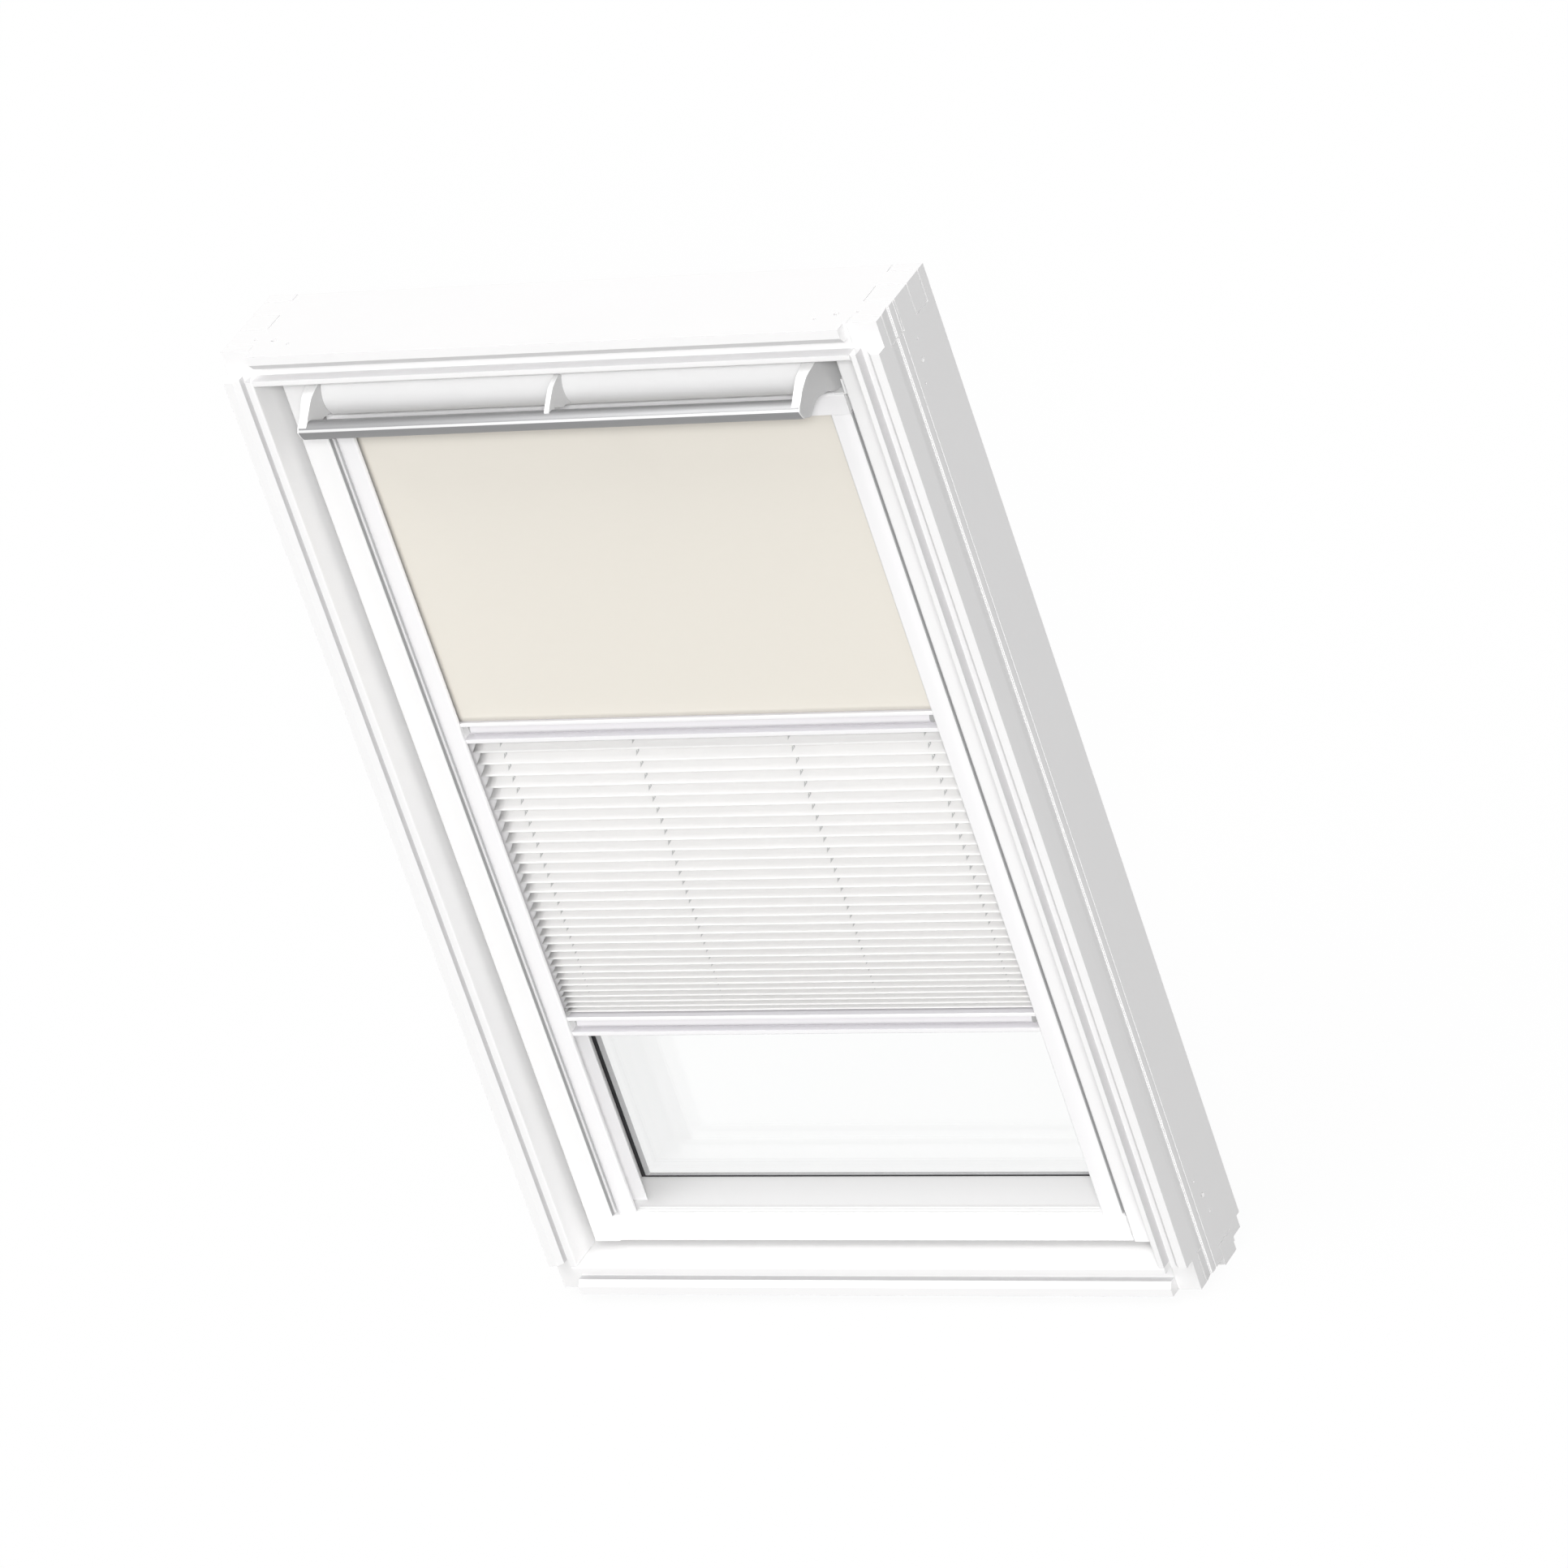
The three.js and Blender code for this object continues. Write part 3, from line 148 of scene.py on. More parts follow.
def multiply_vector(tree, vector, by):
    node = add_node(tree, "ShaderNodeVectorMath", {0: vector, 1: by}, operation="MULTIPLY")
    return node.outputs[0]


def mix_color(tree, share, first, second):
    node = add_node(tree, "ShaderNodeMix", {0: share, 6: first, 7: second}, data_type="RGBA")
    return node.outputs[2]


def mix_shaders(tree, share, first, second):
    node = add_node(tree, "ShaderNodeMixShader",
                    {0: share, 1: first.outputs[0], 2: second.outputs[0]})
    return node.outputs[0]


def spread(tree, value, low, high):
    """Turns a value from 0 to 1 into one from low to high."""
    node = add_node(tree, "ShaderNodeMapRange", {"Value": value, "To Min": low, "To Max": high})
    return node.outputs["Result"]


def object_place(tree):
    return add_node(tree, "ShaderNodeTexCoord").outputs["Object"]


def add_noise(tree, place, scale, detail=2.0, **more):
    """Soft noise from 0 to 1. A scale of 10 gives about ten patches to the metre."""
    inputs = {"Vector": place, "Scale": scale, "Detail": detail, **more}
    return add_node(tree, "ShaderNodeTexNoise", inputs).outputs["Fac"]


def empty_tree(owner):
    """The node tree of a new material or world, with nothing in it."""
    owner.use_nodes = True
    owner.node_tree.nodes.clear()
    return owner.node_tree


def new_group(name, inputs, outputs):
    """Starts a node group and returns it with its input node and its output node."""
    tree = bpy.data.node_groups.new(name, "ShaderNodeTree")
    for label, kind, value in inputs:
        socket = tree.interface.new_socket(label, in_out="INPUT", socket_type=kind)
        socket.default_value = value
    for label, kind in outputs:
        tree.interface.new_socket(label, in_out="OUTPUT", socket_type=kind)
    print(f"group {name}: {len(inputs)} inputs, {len(outputs)} outputs")
    return tree, tree.nodes.new("NodeGroupInput"), tree.nodes.new("NodeGroupOutput")


def give_out(tree, made, **values):
    for name, value in values.items():
        feed(tree, made.inputs[name], value)


def place_group(tree, group, **inputs):
    """Places a group in a tree. An input's name is written small, with underscores for spaces."""
    node = add_node(tree, "ShaderNodeGroup", node_tree=group)
    for name, value in inputs.items():
        feed(tree, node.inputs[name.replace("_", " ").capitalize()], value)
    return node


def grey(value):
    return (value, value, value, 1.0)


FLOAT = "NodeSocketFloat"
COLOR = "NodeSocketColor"
VECTOR = "NodeSocketVector"

# %% [markdown]
# ## Effects that several finishes share
#
# Paint, metal and cloth are never quite even. Each effect below is a node group that gives a
# colour, a roughness or a height. The materials place a group with their own values, so one idea is
# built once and stays the same everywhere. All of them read object coordinates, which stay on a
# piece when it moves.

# %% Paint film
PATCHES = 9.0  # slow changes of tone, per metre
PATCH_TONE = (0.93, 0.93, 0.93)
PATCH_GAIN = 10.0  # how fast the toned patches grow with the change that is asked for


def build_paint_film():
    """A sprayed film: slow changes of tone, and a fine ripple like the skin of an orange."""
    tree, given, made = new_group(
        "paint film",
        [("Color", COLOR, grey(0.85)), ("Roughness", FLOAT, 0.4), ("Ripple size", FLOAT, 0.002),
         ("Tone change", FLOAT, 0.02)],
        [("Color", COLOR), ("Roughness", FLOAT), ("Height", FLOAT)])
    color = given.outputs["Color"]
    place = object_place(tree)
    ripple_scale = add_math(tree, "DIVIDE", 1.0, given.outputs["Ripple size"])
    ripple = add_noise(tree, place, ripple_scale)
    patches = add_noise(tree, place, PATCHES, 3.0)
    share = add_math(tree, "MULTIPLY", patches, given.outputs["Tone change"])
    share = add_math(tree, "MULTIPLY", share, PATCH_GAIN, clamp=True)
    toned = mix_color(tree, share, color, multiply_vector(tree, color, PATCH_TONE))
    drift = spread(tree, patches, -0.06, 0.06)
    roughness = add_math(tree, "ADD", given.outputs["Roughness"], drift)
    give_out(tree, made, Color=toned, Roughness=roughness, Height=ripple)
    return tree


paint_film = build_paint_film()

# %% Timber grain
FIBRES = 420.0  # per metre across the grain
RINGS = 70.0
RING_WEIGHT = 1.4  # how much the year rings count beside the fibres


def build_timber_grain():
    """Long fibres that show faintly through paint. The stretch is small along the piece."""
    tree, given, made = new_group(
        "timber grain", [("Stretch", VECTOR, (1.0, 1.0, 1.0)), ("Depth", FLOAT, 0.5)],
        [("Height", FLOAT)])
    drawn = multiply_vector(tree, object_place(tree), given.outputs["Stretch"])
    fibres = add_noise(tree, drawn, FIBRES, 4.0, Roughness=0.65)
    rings = add_noise(tree, drawn, RINGS, 2.0, Distortion=0.6)
    relief = add_math(tree, "ADD", fibres, add_math(tree, "MULTIPLY", rings, RING_WEIGHT))
    give_out(tree, made, Height=add_math(tree, "MULTIPLY", relief, given.outputs["Depth"]))
    return tree


timber_grain = build_timber_grain()

# %% Drawn metal
STREAKS = 2600.0  # per metre across the way of drawing
CLOUDS = 14.0
STREAK_TONE = (0.8, 0.8, 0.81)


def build_drawn_metal():
    """Fine streaks along the way a metal was drawn or brushed."""
    tree, given, made = new_group(
        "drawn metal",
        [("Color", COLOR, grey(0.6)), ("Roughness", FLOAT, 0.3),
         ("Stretch", VECTOR, (0.01, 1.0, 1.0)), ("Streaks", FLOAT, 0.5)],
        [("Color", COLOR), ("Roughness", FLOAT), ("Height", FLOAT)])
    color = given.outputs["Color"]
    place = object_place(tree)
    drawn = multiply_vector(tree, place, given.outputs["Stretch"])
    streaks = add_noise(tree, drawn, STREAKS, 3.0, Roughness=0.7)
    clouds = add_noise(tree, place, CLOUDS)
    line = add_math(tree, "MULTIPLY", streaks, given.outputs["Streaks"])
    toned = mix_color(tree, line, color, multiply_vector(tree, color, STREAK_TONE))
    uneven = add_math(tree, "ADD", spread(tree, streaks, -0.06, 0.06),
                      spread(tree, clouds, -0.05, 0.05))
    roughness = add_math(tree, "ADD", given.outputs["Roughness"], uneven)
    give_out(tree, made, Color=toned, Roughness=roughness, Height=line)
    return tree


drawn_metal = build_drawn_metal()

# %% Woven cloth
YARN_STRETCH = (0.05, 1.0, 1.0)  # the slubs are long across the cloth
YARN_SLUBS = 1500.0  # per metre up the cloth


def build_woven_cloth():
    """A plain weave: two sets of threads pass over and under each other, with slubs in the yarn."""
    tree, given, made = new_group(
        "woven cloth",
        [("Color", COLOR, grey(0.8)), ("Shade", COLOR, grey(0.7)), ("Thread", FLOAT, 0.0006),
         ("Slubs", FLOAT, 0.3)],
        [("Color", COLOR), ("Height", FLOAT)])
    place = object_place(tree)
    parts = add_node(tree, "ShaderNodeSeparateXYZ", {"Vector": place})
    turns = add_math(tree, "DIVIDE", math.pi, given.outputs["Thread"])
    across = add_math(tree, "SINE", add_math(tree, "MULTIPLY", parts.outputs["X"], turns))
    along = add_math(tree, "SINE", add_math(tree, "MULTIPLY", parts.outputs["Z"], turns))
    crossing = add_math(tree, "MULTIPLY", across, along)
    slubs = add_noise(tree, multiply_vector(tree, place, YARN_STRETCH), YARN_SLUBS)
    slub = add_math(tree, "MULTIPLY", slubs, given.outputs["Slubs"])
    height = add_math(tree, "ADD", spread(tree, crossing, 0.25, 0.75), slub)
    share = add_math(tree, "SUBTRACT", 1.0, height, clamp=True)
    toned = mix_color(tree, share, given.outputs["Color"], given.outputs["Shade"])
    give_out(tree, made, Color=toned, Height=height)
    return tree


woven_cloth = build_woven_cloth()

# %% [markdown]
# ## Finishes
#
# Each finish is one Principled surface. The group gives what changes over the surface, and whatever
# is the same all over stands on the shader's own socket. The bump is scaled in metres, so that it
# stays true to the real height of grain, thread or ripple.

# %% Material helper
def start_material(name, slot, **settings):
    """A material with an empty Principled surface. slot is the slot that it stands for."""
    material = bpy.data.materials.new(name)
    tree = empty_tree(material)
    surface = add_node(tree, "ShaderNodeBsdfPrincipled")
    for label, value in settings.items():
        label = label.replace("_", " ").title().replace("Ior", "IOR")
        surface.inputs[label].default_value = value
    out = add_node(tree, "ShaderNodeOutputMaterial", {"Surface": surface.outputs[0]})
    material["slot"] = slot
    print(f"finish {name}, for the slot {slot}")
    return material, tree, surface, out


def add_bump(tree, surface, height, depth):
    """depth is in metres."""
    bump = add_node(tree, "ShaderNodeBump", {"Height": height, "Strength": 1.0, "Distance": depth})
    tree.links.new(bump.outputs[0], surface.inputs["Normal"])


def link_finish(tree, surface, effect):
    tree.links.new(effect.outputs["Color"], surface.inputs["Base Color"])
    tree.links.new(effect.outputs["Roughness"], surface.inputs["Roughness"])


# %% Painted timber
ALONG_X = (0.06, 1.0, 1.0)
ALONG_Z = (1.0, 1.0, 0.06)
PAINT_WHITE = (0.905, 0.902, 0.9, 1.0)
# painted shade: the light grey of the lining groove's walls
GROOVE_SHADE_GREY = (0.71, 0.705, 0.71, 1.0)
GRAIN_RELIEF = 0.00006  # metres that the grain stands out through the paint


def painted_timber(name, slot, stretch, color=PAINT_WHITE):
    """Two coats of white over pine: the grain is only a shallow relief under a satin film."""
    material, tree, surface, _ = start_material(name, slot, specular_ior_level=0.4)
    film = place_group(tree, paint_film, color=color, roughness=0.42, ripple_size=0.003,
                       tone_change=0.03)
    grain = place_group(tree, timber_grain, stretch=stretch, depth=0.5)
    link_finish(tree, surface, film)
    height = add_math(tree, "ADD", film.outputs["Height"], grain.outputs["Height"])
    add_bump(tree, surface, height, GRAIN_RELIEF)
    return material


frame_paint_x = painted_timber("frame paint across", "frame_paint", ALONG_X)
frame_paint_z = painted_timber("frame paint upright", "frame_paint", ALONG_Z)
sash_paint_x = painted_timber("sash paint across", "sash_paint", ALONG_X)
sash_paint_z = painted_timber("sash paint upright", "sash_paint", ALONG_Z)
# painted shade on the walls of the lining groove
groove_painted_shade = painted_timber("groove painted shade", "frame_paint", ALONG_Z, GROOVE_SHADE_GREY)

# %% Coated aluminium, steel and plastic
def coated(name, slot, color, roughness, ripple, depth, tone=0.02, **settings):
    """A smooth coating or moulding. Powder coat ripples more than moulded plastic does.

    ripple is the width of a ripple and depth its height, both in metres."""
    material, tree, surface, _ = start_material(name, slot, **settings)
    film = place_group(tree, paint_film, color=color, roughness=roughness, ripple_size=ripple,
                       tone_change=tone)
    link_finish(tree, surface, film)
    add_bump(tree, surface, film.outputs["Height"], depth)
    return material


white_aluminium = coated("white powder coat", "white_aluminium", (0.91, 0.905, 0.91, 1.0),
                         0.36, 0.0012, 0.00002, specular_ior_level=0.5)
# partly the channel's lavender tint, partly painted shade in the channel
channel_tint_and_shade = coated("channel tint and painted shade", "white_aluminium", (0.82, 0.805, 0.825, 1.0),
                      0.3, 0.0012, 0.00001, metallic=0.15)
# painted shade on the rails' top and on the ledge below the channel
ledge_painted_shade = coated("ledge painted shade", "white_aluminium", (0.63, 0.62, 0.64, 1.0),
                    0.5, 0.0012, 0.00001)
# painted shade in the pockets of the plugs at the channel's ends
plug_painted_shade = coated("plug painted shade", "white_aluminium", grey(0.52), 0.5, 0.0007, 0.00001)
# painted shade of the gap between the side rails and the sash
gap_painted_shade = coated("gap painted shade", "white_aluminium", (0.43, 0.43, 0.435, 1.0), 0.6, 0.0007, 0.00001)
white_steel = coated("white coated steel", "white_steel", grey(0.84), 0.4, 0.0014, 0.00002)
white_plastic = coated("white moulded plastic", "white_plastic", (0.9, 0.9, 0.895, 1.0),
                       0.44, 0.0007, 0.00001)
# painted shade on the flat sides of the arms and the fin
side_painted_shade = coated("arm side painted shade", "white_plastic", grey(0.6), 0.5, 0.0007, 0.00001)
grey_cladding = coated("grey coated cladding", "grey_cladding", (0.42, 0.425, 0.43, 1.0),
                       0.5, 0.0015, 0.00003, tone=0.06, metallic=0.35)
dark_rubber = coated("black rubber", "rubber", (0.024, 0.024, 0.026, 1.0),
                     0.75, 0.0009, 0.00002, tone=0.08)
filter_foam = coated("open cell foam", "foam", (0.17, 0.172, 0.176, 1.0),
                     0.95, 0.0016, 0.0008, tone=0.1)

# %% Bare metal
DRAWN_ACROSS = (0.004, 1.0, 1.0)
STREAK_RELIEF = 0.000012  # metres


def bare_metal(name, slot, color, roughness, stretch, streaks, metallic=1.0):
    """streaks is how strongly the drawing shows, from 0 to 1."""
    material, tree, surface, _ = start_material(name, slot, metallic=metallic)
    effect = place_group(tree, drawn_metal, color=color, roughness=roughness, stretch=stretch,
                         streaks=streaks)
    link_finish(tree, surface, effect)
    add_bump(tree, surface, effect.outputs["Height"], STREAK_RELIEF)
    return material


bar_aluminium = bare_metal("anodised bar", "bar_aluminium", (0.41, 0.41, 0.415, 1.0),
                           0.48, DRAWN_ACROSS, 0.4)
# painted highlight: a near-white metal for the bright line along the bar's top bend
painted_highlight_edge = bare_metal("painted highlight edge", "bar_aluminium", grey(0.97), 0.4, DRAWN_ACROSS, 0.2)
spacer_aluminium = bare_metal("spacer aluminium", "spacer_aluminium", (0.62, 0.62, 0.625, 1.0),
                              0.5, (1.0, 1.0, 0.01), 0.3, metallic=0.3)
zinc_steel = bare_metal("zinc plated steel", "steel", (0.62, 0.62, 0.6, 1.0),
                        0.34, (1.0, 0.1, 0.1), 0.5)

# %% [markdown]
# ### Glass
#
# A pane is thin and almost colourless. The Principled surface gives reflections and a faint green,
# and a transparent shader takes over for shadow rays, because a path tracer would otherwise let a
# clear pane throw a dark shadow.

# %% Glass
GLASS_TINTS = ((0.996, 1.0, 0.998, 1.0), (0.999, 1.0, 1.0, 1.0))
GLASS_CLEAR = (0.998, 1.0, 0.999, 1.0)


def make_glass():
    material, tree, surface, out = start_material(
        "window glass", "glass", transmission_weight=1.0, roughness=0.0, ior=1.45)
    waves = add_noise(tree, object_place(tree), 3.0)
    feed(tree, surface.inputs["Base Color"], mix_color(tree, waves, *GLASS_TINTS))
    rays = add_node(tree, "ShaderNodeLightPath").outputs
    clear = add_node(tree, "ShaderNodeBsdfTransparent", {"Color": GLASS_CLEAR})
    unseen = add_math(tree, "MAXIMUM", rays["Is Shadow Ray"], rays["Is Diffuse Ray"])
    feed(tree, out.inputs["Surface"], mix_shaders(tree, unseen, surface, clear))
    return material


window_glass = make_glass()

# %% [markdown]
# ### Cloth
#
# The upper cloth is a coated blackout weave and the lower one is a thin crimped polyester that lets
# light through. Both get the same weave group with other threads and colours. The blackout side has
# almost no gloss, and a little sheen stands for the fibre ends.

# %% Cloth finishes
BEIGE = (0.81, 0.775, 0.705, 1.0)
BEIGE_SHADE = (0.765, 0.73, 0.655, 1.0)
PLEAT_WHITE = (0.94, 0.935, 0.93, 1.0)
PLEAT_SHADE = (0.91, 0.905, 0.895, 1.0)
CORD_WHITE = (0.8, 0.8, 0.79, 1.0)
PLEAT_LETS_THROUGH = 0.15  # share of the light


def cloth(name, slot, color, shade, thread, slubs, depth, **settings):
    """thread is the width of a thread and depth the height of the weave, both in metres."""
    material, tree, surface, out = start_material(name, slot, **settings)
    weave = place_group(tree, woven_cloth, color=color, shade=shade, thread=thread, slubs=slubs)
    tree.links.new(weave.outputs["Color"], surface.inputs["Base Color"])
    add_bump(tree, surface, weave.outputs["Height"], depth)
    return material, tree, surface, out, weave


blackout_cloth = cloth("blackout cloth", "blackout_cloth", BEIGE, BEIGE_SHADE,
                       0.0005, 0.3, 0.00005, roughness=0.9, sheen_weight=0.15)[0]

# %% [markdown]
# ### Punched holes, drawn as painted shade
#
# The pull cords go through holes punched in the pleats. Cutting them out of the thin sheet would
# cost many small faces, and at this distance a hole is only a grey speck of shade, so a node group
# paints a soft grey spot of shade where each cord goes through. The pleated cloth also lets a
# little light through. A translucent shader gives it.

# %% Cloth that cords pass through
CORD_MIDDLE = 0.175  # metres from the middle of the cloth to the middle between two pull cords
CORD_APART = 0.081  # from there to each of the two
CORD_DEPTH = 0.060  # how far the cords run behind the frame's front
SPOT_SIZE = 0.0014
SPOT_SHARPNESS = 1200.0  # one over the width of the spot's soft rim
SPOT_SQUEEZE = 0.35  # a spot is longer from front to back than across


def build_punched_holes():
    """A spot of painted shade round each hole that a pull cord goes through, four across the cloth.
    """
    tree, given, made = new_group(
        "painted hole shade", [("Color", COLOR, grey(0.9)), ("Spot", COLOR, grey(0.55))],
        [("Color", COLOR)])
    place = add_node(tree, "ShaderNodeSeparateXYZ", {"Vector": object_place(tree)}).outputs

    def away_from(value, middle):
        return add_math(tree, "ABSOLUTE", add_math(tree, "SUBTRACT", value, middle))

    pair = away_from(add_math(tree, "ABSOLUTE", place["X"]), CORD_MIDDLE)
    across = away_from(pair, CORD_APART)
    along = add_math(tree, "MULTIPLY", away_from(place["Y"], CORD_DEPTH), SPOT_SQUEEZE)
    outside = add_math(tree, "SUBTRACT", add_math(tree, "ADD", across, along), SPOT_SIZE)
    faded = add_math(tree, "MULTIPLY", outside, SPOT_SHARPNESS, clamp=True)
    share = add_math(tree, "SUBTRACT", 1.0, faded)
    spotted = mix_color(tree, share, given.outputs["Color"], given.outputs["Spot"])
    give_out(tree, made, Color=spotted)
    return tree


hole_shade_spots = build_punched_holes()


def make_pleated_cloth():
    """The pleated cloth passes a part of its light on to the back of the next fold."""
    material, tree, surface, out, weave = cloth(
        "pleated cloth", "pleated_cloth", PLEAT_WHITE, PLEAT_SHADE, 0.0004, 0.35, 0.00004,
        roughness=0.85, sheen_weight=0.1)
    # painted shade of the cord holes over the weave's colour
    hole_shade = place_group(tree, hole_shade_spots, color=weave.outputs["Color"])
    tree.links.new(hole_shade.outputs["Color"], surface.inputs["Base Color"])
    through = add_node(tree, "ShaderNodeBsdfTranslucent", {"Color": hole_shade.outputs["Color"]})
    feed(tree, out.inputs["Surface"], mix_shaders(tree, PLEAT_LETS_THROUGH, surface, through))
    return material


pleated_cloth = make_pleated_cloth()
cord_white = coated("braided cord", "pleated_cloth", CORD_WHITE, 0.8, 0.0005, 0.00005)

# %% [markdown]
# ## Softened edges on the CAD pieces
#
# Most CAD pieces have the right shape and stay. A sawn, painted or folded edge is never sharp, so
# each piece gets a small bevel. The faces of an imported mesh don't share points, so a weld comes
# first. Curved faces are then shaded smooth and flat ones stay flat: a small geometry node tree
# does this by the angle between faces, and works the same on every piece.

# %% Smooth by angle
GENTLE_ANGLE = 32  # degrees between two faces of one curve, at most
WELD_DISTANCE = 0.00001


def build_smooth_by_angle():
    tree = bpy.data.node_groups.new("smooth by angle", "GeometryNodeTree")
    for way in ("INPUT", "OUTPUT"):
        tree.interface.new_socket("Mesh", in_out=way, socket_type="NodeSocketGeometry")
    given = tree.nodes.new("NodeGroupInput")
    made = tree.nodes.new("NodeGroupOutput")
    angle = tree.nodes.new("GeometryNodeInputMeshEdgeAngle")
    gentle = add_node(tree, "FunctionNodeCompare",
                      {"A": angle.outputs[0], "B": math.radians(GENTLE_ANGLE)},
                      operation="LESS_THAN")
    faces = add_node(tree, "GeometryNodeSetShadeSmooth", {"Geometry": given.outputs[0]},
                     domain="FACE")
    edges = add_node(tree, "GeometryNodeSetShadeSmooth",
                     {"Geometry": faces.outputs[0], "Shade Smooth": gentle.outputs[0]},
                     domain="EDGE")
    tree.links.new(edges.outputs[0], made.inputs[0])
    return tree


smooth_by_angle = build_smooth_by_angle()


def smooth(piece):
    piece.modifiers.new("smooth by angle", "NODES").node_group = smooth_by_angle


def soften(piece, width, segments=2, angle=35, flat_faces=True):
    """Rounds the edges of a piece that are sharper than angle, in degrees."""
    weld = piece.modifiers.new("weld", "WELD")
    weld.merge_threshold = WELD_DISTANCE
    bevel = piece.modifiers.new("bevel", "BEVEL")
    bevel.width = width
    bevel.segments = segments
    bevel.limit_method = "ANGLE"
    bevel.angle_limit = math.radians(angle)
    bevel.use_clamp_overlap = True
    smooth(piece)
    if flat_faces:
        weighted = piece.modifiers.new("weighted normals", "WEIGHTED_NORMAL")
        weighted.keep_sharp = True


def dress(names, finish, width, segments=2):
    """Gives CAD pieces a finish and an edge that is rounded to this width, in millimetres."""
    for name in names:
        piece = nodes[name]
        piece.data.materials.clear()
        piece.data.materials.append(finish)
        soften(piece, width * MM, segments)
    print(f"{finish.name}, {width} mm edges: {', '.join(names)}")


def both(name):
    return [f"{name}_{side}" for side in ("left", "right")]


# %% Frame, sash and hardware
FRAME_SIDES = both("frame_side")
FRAME_ENDS = ["frame_head", "frame_sill"]

dress(FRAME_SIDES, frame_paint_z, 0.8)
dress(FRAME_ENDS, frame_paint_x, 0.8)
dress(both("sash_side"), sash_paint_z, 0.5)
dress(["sash_head", "sash_sill"], sash_paint_x, 0.5)
dress(["lower_seal", "upper_seal", "glazing_gasket"], dark_rubber, 0.4)
dress(both("pivot_pin_plate") + both("pivot_bearing"), zinc_steel, 0.4)
dress(["strike_plate", "lock_case", "latch_bolt", "hinge_rod"], zinc_steel, 0.3)
dress(both("drum_lug") + ["drum_lug_middle"], zinc_steel, 0.5)

# %% Glazing and the blind's fixed pieces
dress(["inner_pane", "outer_pane"], window_glass, 0.2, 1)
dress(["spacer_bar"], spacer_aluminium, 0.4)
dress(both("glass_cover") + ["glass_cover_top", "glass_cover_bottom"], grey_cladding, 0.6)
dress(both("mounting_clip"), white_steel, 0.3)
dress(["blind_casing"], white_aluminium, 0.4)
dress(both("casing_cap") + both("roller_pin") + ["sill_strip"], white_plastic, 0.3)
dress(both("middle_rail_glide") + both("bottom_rail_glide"), white_plastic, 0.5)
dress(["roller_tube"], spacer_aluminium, 0.2)

# %% [markdown]
# ### The lining groove
#
# The lining groove runs round the frame behind its rib. Its walls are painted light grey, as
# painted shade of the recess. A face of a wall is found by where it lies and which way it looks.

# %% Lining groove
GROOVE_SPAN = (14 * MM, 30 * MM)  # from the frame's outer edge inward, walls included
GROOVE_DEPTHS = (0.5 * MM, 13.5 * MM)  # from the frame's front
WALL_TILT = 0.2  # a wall hardly looks to the front or back


def shade_groove(name):
    piece = nodes[name]
    _, (wide, _, tall) = cad_box
    piece.data.materials.append(groove_painted_shade)
    walls = 0
    for face in piece.data.polygons:
        x, y, z = face.center
        inward = {"frame_head": tall - z, "frame_sill": z}.get(name, wide - abs(x))
        in_span = GROOVE_SPAN[0] < inward < GROOVE_SPAN[1]
        in_depth = GROOVE_DEPTHS[0] < y < GROOVE_DEPTHS[1]
        if in_span and in_depth and abs(face.normal.y) < WALL_TILT:
            face.material_index = 1
            walls += 1
    print(f"{name}: {walls} wall faces")


for name in FRAME_SIDES + FRAME_ENDS:
    shade_groove(name)

# %% [markdown]
# ## Pieces built again
#
# Some pieces need more shape than a light CAD solid carries. Each is built as a mesh in code at the
# place that the CAD node has, and stands for that node. The helpers make an outline smooth, join
# rings of points into a closed tube and give the mesh its finish and its body.

# %% Mesh helpers
def place_piece(name, mesh, finish, body, stands_for=()):
    """Puts a mesh in the scene, lets it ride a body and hides the CAD nodes it stands for."""
    piece = bpy.data.objects.new(name, mesh)
    scene.collection.objects.link(piece)
    mesh.materials.append(finish)
    if stands_for:
        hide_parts(*stands_for)
    if body:
        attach(piece, body)
    print(f"{name}: {len(mesh.polygons)} faces")
    return piece


def new_piece(name, vertices, faces, finish, body, stands_for=()):
    mesh = bpy.data.meshes.new(name)
    mesh.from_pydata([tuple(v) for v in vertices], [], faces)
    shape = bmesh.new()
    shape.from_mesh(mesh)
    bmesh.ops.recalc_face_normals(shape, faces=shape.faces)
    shape.to_mesh(mesh)
    shape.free()
    return place_piece(name, mesh, finish, body, stands_for)


def join_rings(rings, count, start=0):
    """Faces of a closed tube through rings of count points each. start is the first point."""
    faces = []
    for ring in range(rings - 1):
        a, b = start + ring * count, start + (ring + 1) * count
        faces += [(a + i, a + (i + 1) % count, b + (i + 1) % count, b + i) for i in range(count)]
    last = start + (rings - 1) * count
    faces.append(tuple(range(start, start + count)))
    faces.append(tuple(range(last + count - 1, last - 1, -1)))
    return faces


def push_along_x(outline, low, high):
    """Vertices and faces of a closed outline of (y, z) points pushed from x low to x high."""
    vertices = [(x, y, z) for x in (low, high) for y, z in outline]
    return vertices, join_rings(2, len(outline))


def smooth_line(points, steps=5):
    """A Catmull-Rom curve through open points."""
    points = [np.array(p, float) for p in points]
    padded = [2 * points[0] - points[1], *points, 2 * points[-1] - points[-2]]
    line = []
    for a, b, c, d in zip(padded, padded[1:], padded[2:], padded[3:]):
        for i in range(steps):
            t = i / steps
            line.append(0.5 * (2 * b + (c - a) * t + (2 * a - 5 * b + 4 * c - d) * t ** 2
                               + (3 * b - a - 3 * c + d) * t ** 3))
    line.append(points[-1])
    return [tuple(p) for p in line]


def arc(center, radius, start, end, steps):
    """Points on a part of a circle. The angles are in radians."""
    angles = [start + (end - start) * i / steps for i in range(steps + 1)]
    return [(center[0] + radius * math.cos(a), center[1] + radius * math.sin(a)) for a in angles]


